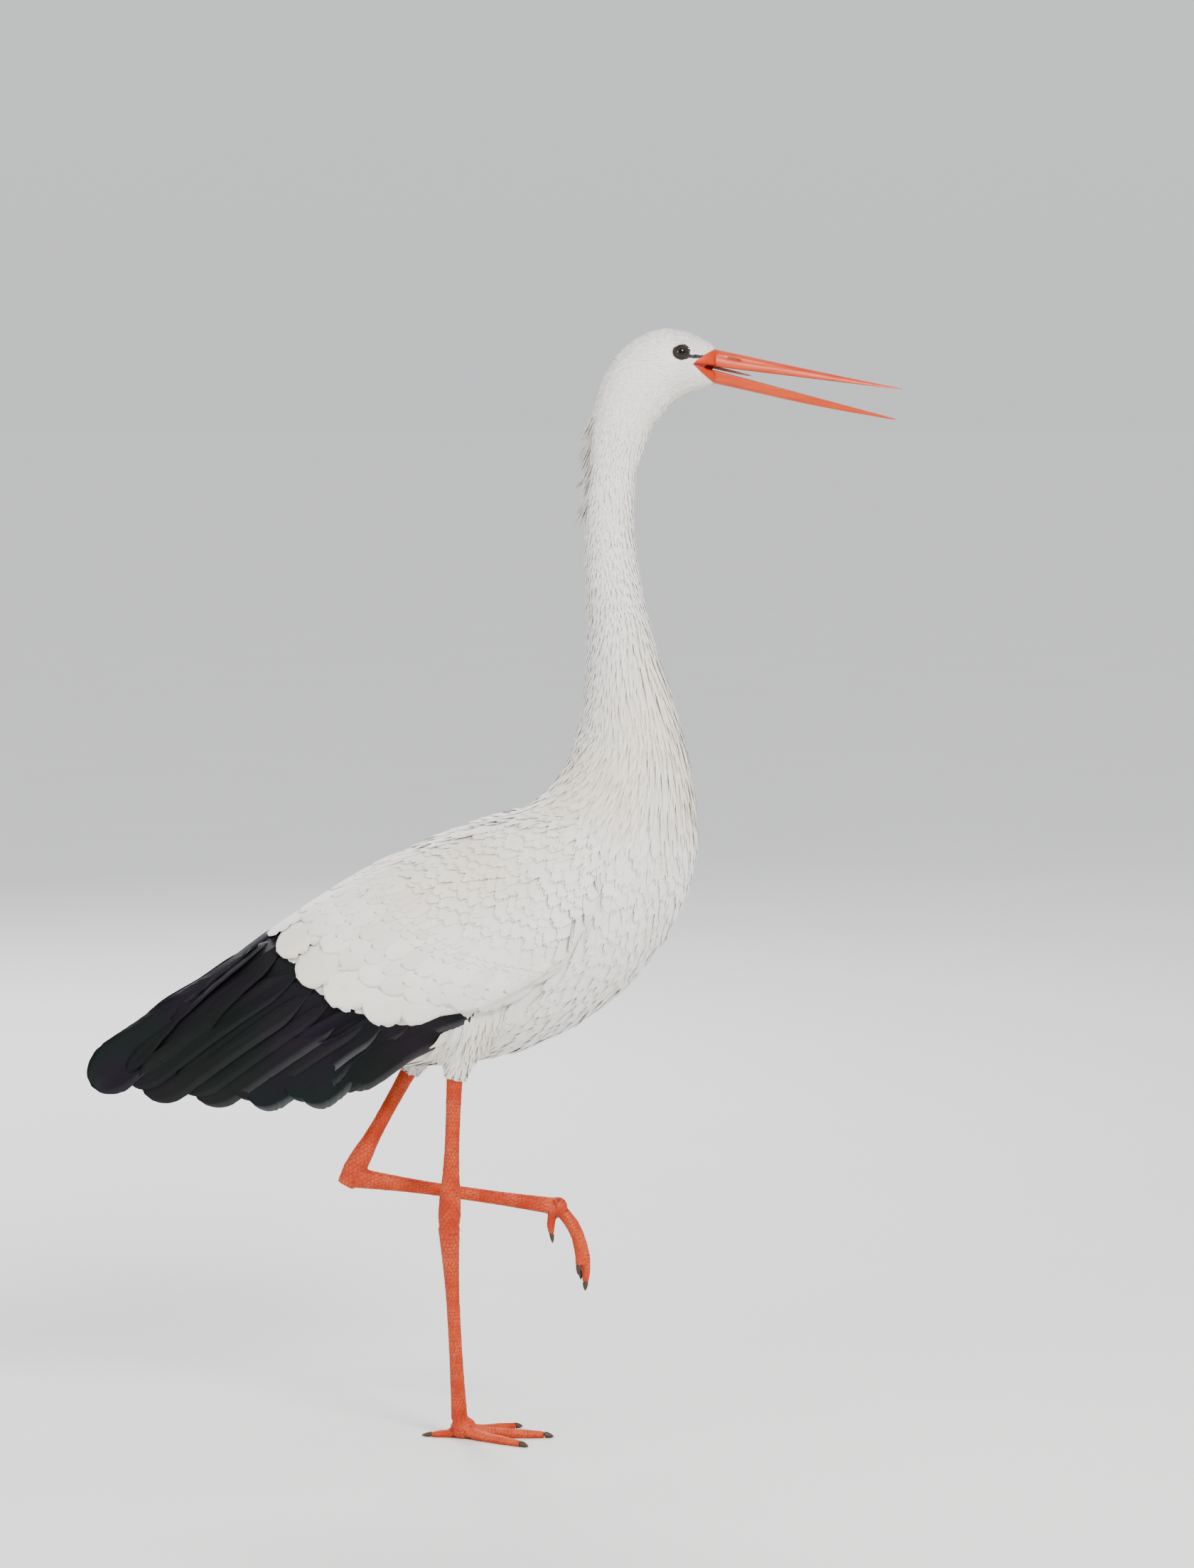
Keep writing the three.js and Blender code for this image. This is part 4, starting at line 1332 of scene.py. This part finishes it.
def nape_ruff(surface):
    """Ruffled feathers that stand out behind the head, in tufts one below the other."""
    n = RUFF_COUNT
    turn = rng.normal(0, 0.62, n)
    z = rng.uniform(*RUFF_HEIGHTS, n)
    seeds, _ = surface.nearest(np.stack([np.full(n, 100.0), np.sin(turn) * 22, z], 1))
    wave = 0.5 + 0.5 * np.cos((z - RUFF_HEIGHTS[0] - 5) / RUFF_TUFT * 2 * np.pi)
    length = rng.uniform(24, 33, n)
    lift = (3.0 + 8.0 * wave) * rng.uniform(0.6, 1.1, n) * np.cos(turn * 0.8)
    return plumes(surface, seeds, length, 7.0, 2.6, np.full(n, 0.9), 3, 0.4, lift)


# ---- wings and tail

COVERT_LINE = np.array([(-190, 494), (-146, 447), (-96, 421), (-34, 412)], float)
COVERT_SLOPE = (37, 24)  # degrees below the horizontal, from the back down
COVERT_ROWS = 8
COVERT_WIDTH = 43.0
COVERT_SHRINK = 0.85  # each row's width over that of the row below
COVERT_PITCH = (0.86, 0.62)  # from feather to feather in the lowest row and the others, in widths
COVERT_RISE = (36.0, 0.52)  # from row to row: the first in mm, the others in widths
COVERT_CUTS = (26, 18, 18, 14)  # how finely a feather is cut along its length, row by row
TIP_LINE = np.array([(-344, 338), (-227, 329), (-118, 345), (-38, 408)], float)
FLIGHT_SLOPE = (40, 27)
FLIGHT_TIPS = 8
FLIGHT_LENGTH = (236, 176, 128, 64)  # from the rear of the wing to its front
UPPER_LAYER = (0.0, 50.0, 0.7)  # how far back the tips are, the width, how pale the edge is
UNDER_LAYER = (13.0, 44.0, 0.25)  # the same for those that show between the others
FEATHER_TILT = -0.35  # how much higher a feather's lower edge is than its middle
RIDGE_FRONT = -158.0  # the x of the ridge feathers' roots
RIDGE_FEATHERS = (  # how far aside, the tip's x, width, bow and lift
    (33.0, -266.0, 46.0, 1.0, -0.4), (13.0, -318.0, 40.0, 2.5, 0.8), (0.0, -292.0, 42.0, 6.5, 2.2),
)
TAIL_ROOT = np.array([-124.0, 0.0, 413.0])
TAIL_LENGTH = 178.0
TAIL_SLOPE = 19.5
TAIL_COUNT = 12
TAIL_WIDTH = 25.0
FACE_CELL = 6.0  # of the height map of the bird's side


def slope_at(slopes, t):
    turn = np.radians(mix(slopes[0], slopes[1], t))
    return np.stack([np.cos(turn), np.sin(turn)], -1)


def row_line(surface, side, rise):
    """A line over one wing, from the middle of the back down, that far above the coverts' tips."""
    t = np.linspace(-0.25, 1.3, 110)
    inner = through(COVERT_LINE, np.clip(t, 0, 1))
    before, after = COVERT_LINE[1] - COVERT_LINE[0], COVERT_LINE[3] - COVERT_LINE[2]
    inner = inner + np.where(t < 0, t, 0)[:, None] * before * 3
    inner = inner + np.where(t > 1, t - 1, 0)[:, None] * after * 3
    flat = inner + slope_at(COVERT_SLOPE, np.clip(t, 0, 1)) * rise
    line = []
    for hit in filter(None, (surface.side_hit(x, z, side) for x, z in flat.tolist())):
        place = hit[0]
        if not line:
            tops = (surface.top(place[0], side * y) for y in np.arange(2.0, abs(place[1]), 2.0))
            line += [np.array(top) for top in tops if top is not None and top[2] < 640]
        line.append(place)
    return np.array(line)


def covert_flow(at, normal):
    way = slope_at(COVERT_SLOPE, step(500, 410, at[:, 2]))
    return flattened(np.stack([-way[:, 0], np.zeros(len(at)), -way[:, 1]], 1), normal)


def coverts(surface, side):
    """Rows of large white feathers over one wing, from the lowest row up."""
    made, rise, width = [], 0.0, COVERT_WIDTH
    for row in range(COVERT_ROWS):
        line = row_line(surface, side, rise)
        size = np.concatenate([[0], np.cumsum(np.linalg.norm(np.diff(line, axis=0), axis=1))])
        pitch = width * COVERT_PITCH[min(row, 1)]
        start = pitch * (0.25 if row % 2 else 0.75) if row else 4.0
        where = np.arange(start, size[-1], pitch)
        where = where + rng.normal(0, 0.03, len(where)) * width
        tips = np.stack([np.interp(where, size, line[:, k]) for k in range(3)], 1)
        tips[:, [0, 2]] += rng.normal(0, 0.02 * width, (len(tips), 2))
        tips = tips[(gap_to(SLAB_TREE, tips, 9.0) < 3.0) | (np.abs(tips[:, 1]) < 22)]
        if len(tips):
            wide = width * rng.uniform(0.94, 1.06, len(tips))
            length = wide * (1.9 if row < 3 else 2.2)
            path = march(surface, tips, length, 6, -1.0, covert_flow)
            made.append(vanes(
                *(x[:, ::-1] for x in path), length, wide, camber=0.028 * width, splits=3,
                rows=COVERT_CUTS[min(row, 3)], blunt=0.62 if row else 0.74,
                tilt=FEATHER_TILT * side, high=(-2.4, 0.9 if row < 4 else 0.4), thick=0.42,
                surface=surface,
            ))
        rise += width * COVERT_RISE[1] if row else COVERT_RISE[0]
        width *= COVERT_SHRINK
    return bundled(made)


def outer_face(surface, side):
    """A height map of one side of the bird where the wing is: y for x and z, carried on past the
    wing's edges."""
    xs, zs = np.arange(-372.0, 70.0, FACE_CELL), np.arange(300.0, 590.0, FACE_CELL)
    y = np.full((len(xs), len(zs)), np.nan)
    for (i, x), (j, z) in product(enumerate(xs), enumerate(zs)):
        hit = surface.side_hit(x, z, side)
        if hit is not None and (abs(hit[1][1]) > 0.72 or hit[1][2] > 0.2):
            y[i, j] = abs(hit[0][1])
    known = ~np.isnan(y)
    fill, weight = np.where(known, y, 0), known.astype(float)
    ways = ((1, 0), (-1, 0), (0, 1), (0, -1))
    for _ in range(70):
        total = sum(np.roll(fill * weight, way, (0, 1)) for way in ways)
        count = sum(np.roll(weight, way, (0, 1)) for way in ways)
        grown = (weight == 0) & (count > 0)
        fill = np.where(grown, total / np.maximum(count, 1), fill)
        weight = np.where(grown, 1.0, weight)
    for _ in range(8):
        fill = (fill * 2 + sum(np.roll(fill, way, (0, 1)) for way in ways)) / 6

    def face(x, z):
        a = np.clip((x - xs[0]) / FACE_CELL, 0, len(xs) - 1.001)
        b = np.clip((z - zs[0]) / FACE_CELL, 0, len(zs) - 1.001)
        i, j = a.astype(int), b.astype(int)
        p, q = a - i, b - j
        return ((fill[i, j] * (1 - p) + fill[i + 1, j] * p) * (1 - q)
                + (fill[i, j + 1] * (1 - p) + fill[i + 1, j + 1] * p) * q)

    return face


def flight(surface, side):
    """Long black feathers over one wing's plate, each lying on the one below it."""
    face = outer_face(surface, side)
    made = []
    layers = [(t, *UPPER_LAYER) for t in np.linspace(0, 1, FLIGHT_TIPS)]
    between = (np.arange(FLIGHT_TIPS - 1) + 0.5) / (FLIGHT_TIPS - 1)
    layers += [(t, *UNDER_LAYER) for t in between]
    u = np.linspace(0, 1, 25)
    for k, (t, back, wide, pale) in enumerate(sorted(layers)):
        way = slope_at(FLIGHT_SLOPE, t)
        tip = through(TIP_LINE, np.array([t]))[0] + way * back
        length = float(through(FLIGHT_LENGTH, np.array([t]))[0])
        bow = 0.02 * length * np.sin(np.pi * u)
        dip = 15.0 * fall(0.0, 0.35, t) * (1 - u)
        across = np.array([-way[1], way[0]])
        x, z = (tip + (1 - u)[:, None] * length * way + (bow - dip)[:, None] * across).T
        lift = 1.5 - 0.38 * k - 3.6 * fall(0.2, 0.62, u)
        y = np.maximum(face(x, z) + lift, 0.8)
        dx, dz = face(x + 4, z) - face(x - 4, z), face(x, z + 4) - face(x, z - 4)
        normals = unit(np.stack([-dx / 8, side + 0 * dx, -dz / 8], 1))

        def silver(v, s):
            """The pale lower edge of a feather, v across it and s along it."""
            lower = step(0.84, 0.98, v * -side) * pale
            return lower * (0.25 + 0.75 * step(0.12, 0.45, t)) * step(0.05, 0.3, s)

        made.append(vane(
            np.stack([x, side * y, z], 1), normals, length, wide, rows=58, camber=0.35,
            blunt=0.86, splits=4, worn=0.045, tilt=FEATHER_TILT * side, silver=silver,
        ))
    for y, *shape in RIDGE_FEATHERS[: 2 if side > 0 else 3]:
        made.append(ridge_feather(surface, y * side, *shape))
    return bundled(made)


def ridge_feather(surface, y, tip, width, bow, lift):
    """A black feather along the ridge where the folded wings meet, bowed over it."""
    x = np.linspace(RIDGE_FRONT, tip, 25)
    tops = [surface.top(at, y) for at in x.tolist()]
    z = np.array([np.nan if top is None else top[2] for top in tops])
    known = ~np.isnan(z)
    first, _, last = np.flatnonzero(known)[-3:]
    slope = (z[last] - z[first]) / (x[last] - x[first])
    z = np.where(known, z, z[last] + slope * (x - x[last]))
    places = np.stack([x, np.full(len(x), float(y)), z], 1)
    normals = surface.nearest(places)[1]
    s = np.linspace(0, 1, len(x))
    sink = bow * mix(0.5, 1.0, s) + 3.0 * fall(0.0, 0.2, s)
    places = places + normals * (lift - sink)[:, None]
    barbs = -RIDGE_FRONT - tip  # finer ones than the other feathers', which have one a millimetre
    return vane(
        places, normals, barbs, width, rows=44, camber=bow, blunt=0.84, splits=3, worn=0.05
    )


def tail_feathers():
    """White feathers that fan out a little under the black ones, the middle one on top."""
    down = math.radians(TAIL_SLOPE)
    way = np.array([-math.cos(down), 0, -math.sin(down)])
    up = np.array([way[2], 0, -way[0]])
    share = np.linspace(-1, 1, TAIL_COUNT)
    u = np.linspace(0, 1, 14)
    made = []
    for layer, across in enumerate(share[np.argsort(-np.abs(share), kind="stable")]):
        length = TAIL_LENGTH * (1 - 0.09 * across**2)
        drop = 3.5 * across**2 * u**0.7
        at = TAIL_ROOT + way * (u * length)[:, None] + up * (0.5 * layer - 3.0 - drop)[:, None]
        at[:, 1] = across * mix(9.0, 24.0, u**0.8)
        normals = np.broadcast_to(unit(up + np.array([0, 0.35 * across, 0])), at.shape)
        made.append(vane(
            at, normals, length, TAIL_WIDTH, rows=34, camber=0.8, blunt=0.88, splits=3, worn=0.1
        ))
    return bundled(made)


# ---- the pieces of the bird

nodes_of_flesh = ["head", *NECK[::-1], "trunk"]
for which in SIDES:
    nodes_of_flesh += [f"{which}_{n}" for n in ("wing", "thigh", "shank", "tarsus", "foot")]
    nodes_of_flesh += [f"{which}_toe_{t}" for t in TOE_NAMES]
points, faces, leg, groove, flesh = whole_skin()
on_head = step(*HEAD_FROM, points[:, 2])
piece(
    "skin", points, faces, "leg_skin", nodes_of_flesh, leg=leg, groove=groove,
    bare=bare_face(points), horn=horn_zone(points) * on_head, mouth=inside_mouth(points) * on_head,
)
for node, up in MANDIBLES.items():
    points, faces, slit, dark = horn_bill(node, up)
    piece(f"{node}_horn", points, faces, "bill_horn", [node], slit=slit, dark=dark)
piece("tongue_flesh", *tongue_shape(), "tongue", ["tongue"])
for which, side in SIDES.items():
    points, faces, ring = eye_ball(side)
    piece(f"{which}_eyeball", points, faces, "eye", [f"{which}_eye"], ring=ring)
for which in SIDES:
    nodes = [f"{which}_claw_{t}" for t in TOE_NAMES]
    made = [claw_shape(node, node_middle(f"{which}_foot")) for node in nodes]
    piece(f"{which}_claws", *gathered(made), "claw", nodes)

flesh = Surface(*flesh)
solids = ("trunk", *NECK, "head", *THIGHS, *WINGS, *FLIGHTS)
outline = Surface(*remeshed(*node_mesh(*solids), BODY_VOXEL, relax=6, swell=0.4))
wings = {which: (coverts(outline, side), flight(outline, side)) for which, side in SIDES.items()}
covers = [tree_of(*gathered([wings[which][k][:2] for which in SIDES])) for k in (0, 1)]
for name, made in body_feathers(flesh, outline, *covers).items():
    coat(f"coat_{name}", made, "white_plumage")
coat("nape_ruff", nape_ruff(flesh), "white_plumage")
for which, (white, black) in wings.items():
    coat(f"{which}_coverts", white, "white_plumage")
    coat(f"{which}_flight_vanes", black, "black_plumage", f"{which}_flight_feathers")
coat("tail_vanes", tail_feathers(), "white_plumage", "tail")

# ---- room, light and camera

FLOOR_REACH = 30  # metres
floor_look = Material("pale_floor", 0.9, specular=0.1)
floor_colour = floor_look.mix(floor_look.noise(3.0), (0.79, 0.79, 0.78), (0.82, 0.82, 0.81))
corners = np.array([[-1, -1, 0], [1, -1, 0], [1, 1, 0], [-1, 1, 0]]) * FLOOR_REACH / MM
floor_mesh = new_mesh("floor", corners, np.array([[0, 1, 2, 3]]))
new_object("floor", floor_mesh, floor_look.done(floor_colour))

world = bpy.data.worlds.new("studio")
world.use_nodes = True
sky = world.node_tree.nodes["Background"].inputs
nodes = Nodes(world.node_tree)
direction = nodes.add("TexCoord", "Generated")
height = nodes.add("SeparateXYZ", "Z", Vector=direction)
nodes.put((0.97, 0.98, 1.0), sky["Color"])
nodes.put(nodes.math("MULTIPLY_ADD", height, 0.25, 0.66), sky["Strength"])


def aimed(ob, place, target):
    ob.location = place
    ob.rotation_euler = (Vector(target) - Vector(place)).to_track_quat("-Z", "Y").to_euler()


HEART = (0.04, 0.0, 0.55)
for name, place, size, watts, colour in (
    ("key", (1.7, -2.6, 2.6), 1.3, 105, (1.0, 0.975, 0.94)),
    ("fill", (-2.6, -2.2, 1.3), 2.2, 38, (0.94, 0.97, 1.0)),
    ("rim", (-1.0, 2.8, 2.3), 1.4, 60, (1, 1, 1)),
):
    light = bpy.data.lights.new(name, "AREA")
    light.shape = "DISK"
    light.size, light.energy, light.color = size, watts, colour
    aimed(new_object(name, light), place, HEART)

AIM = Vector((0.130, 0.0, 0.622))
DISTANCE = 4.5
ELEVATION = math.radians(6)
SEEN = 1.464  # metres of height in view at the bird
SENSOR = 36
camera_data = bpy.data.cameras.new("camera")
camera_data.sensor_width = SENSOR
camera_data.lens = SENSOR * DISTANCE / SEEN
camera = new_object("camera", camera_data)
away = Vector((0, -math.cos(ELEVATION), math.sin(ELEVATION)))
aimed(camera, AIM + DISTANCE * away, AIM)
scene = bpy.context.scene
scene.world = world
scene.camera = camera
scene.view_settings.view_transform = "AgX"
scene.view_settings.look = "AgX - Medium High Contrast"
scene.cycles.use_denoising = True
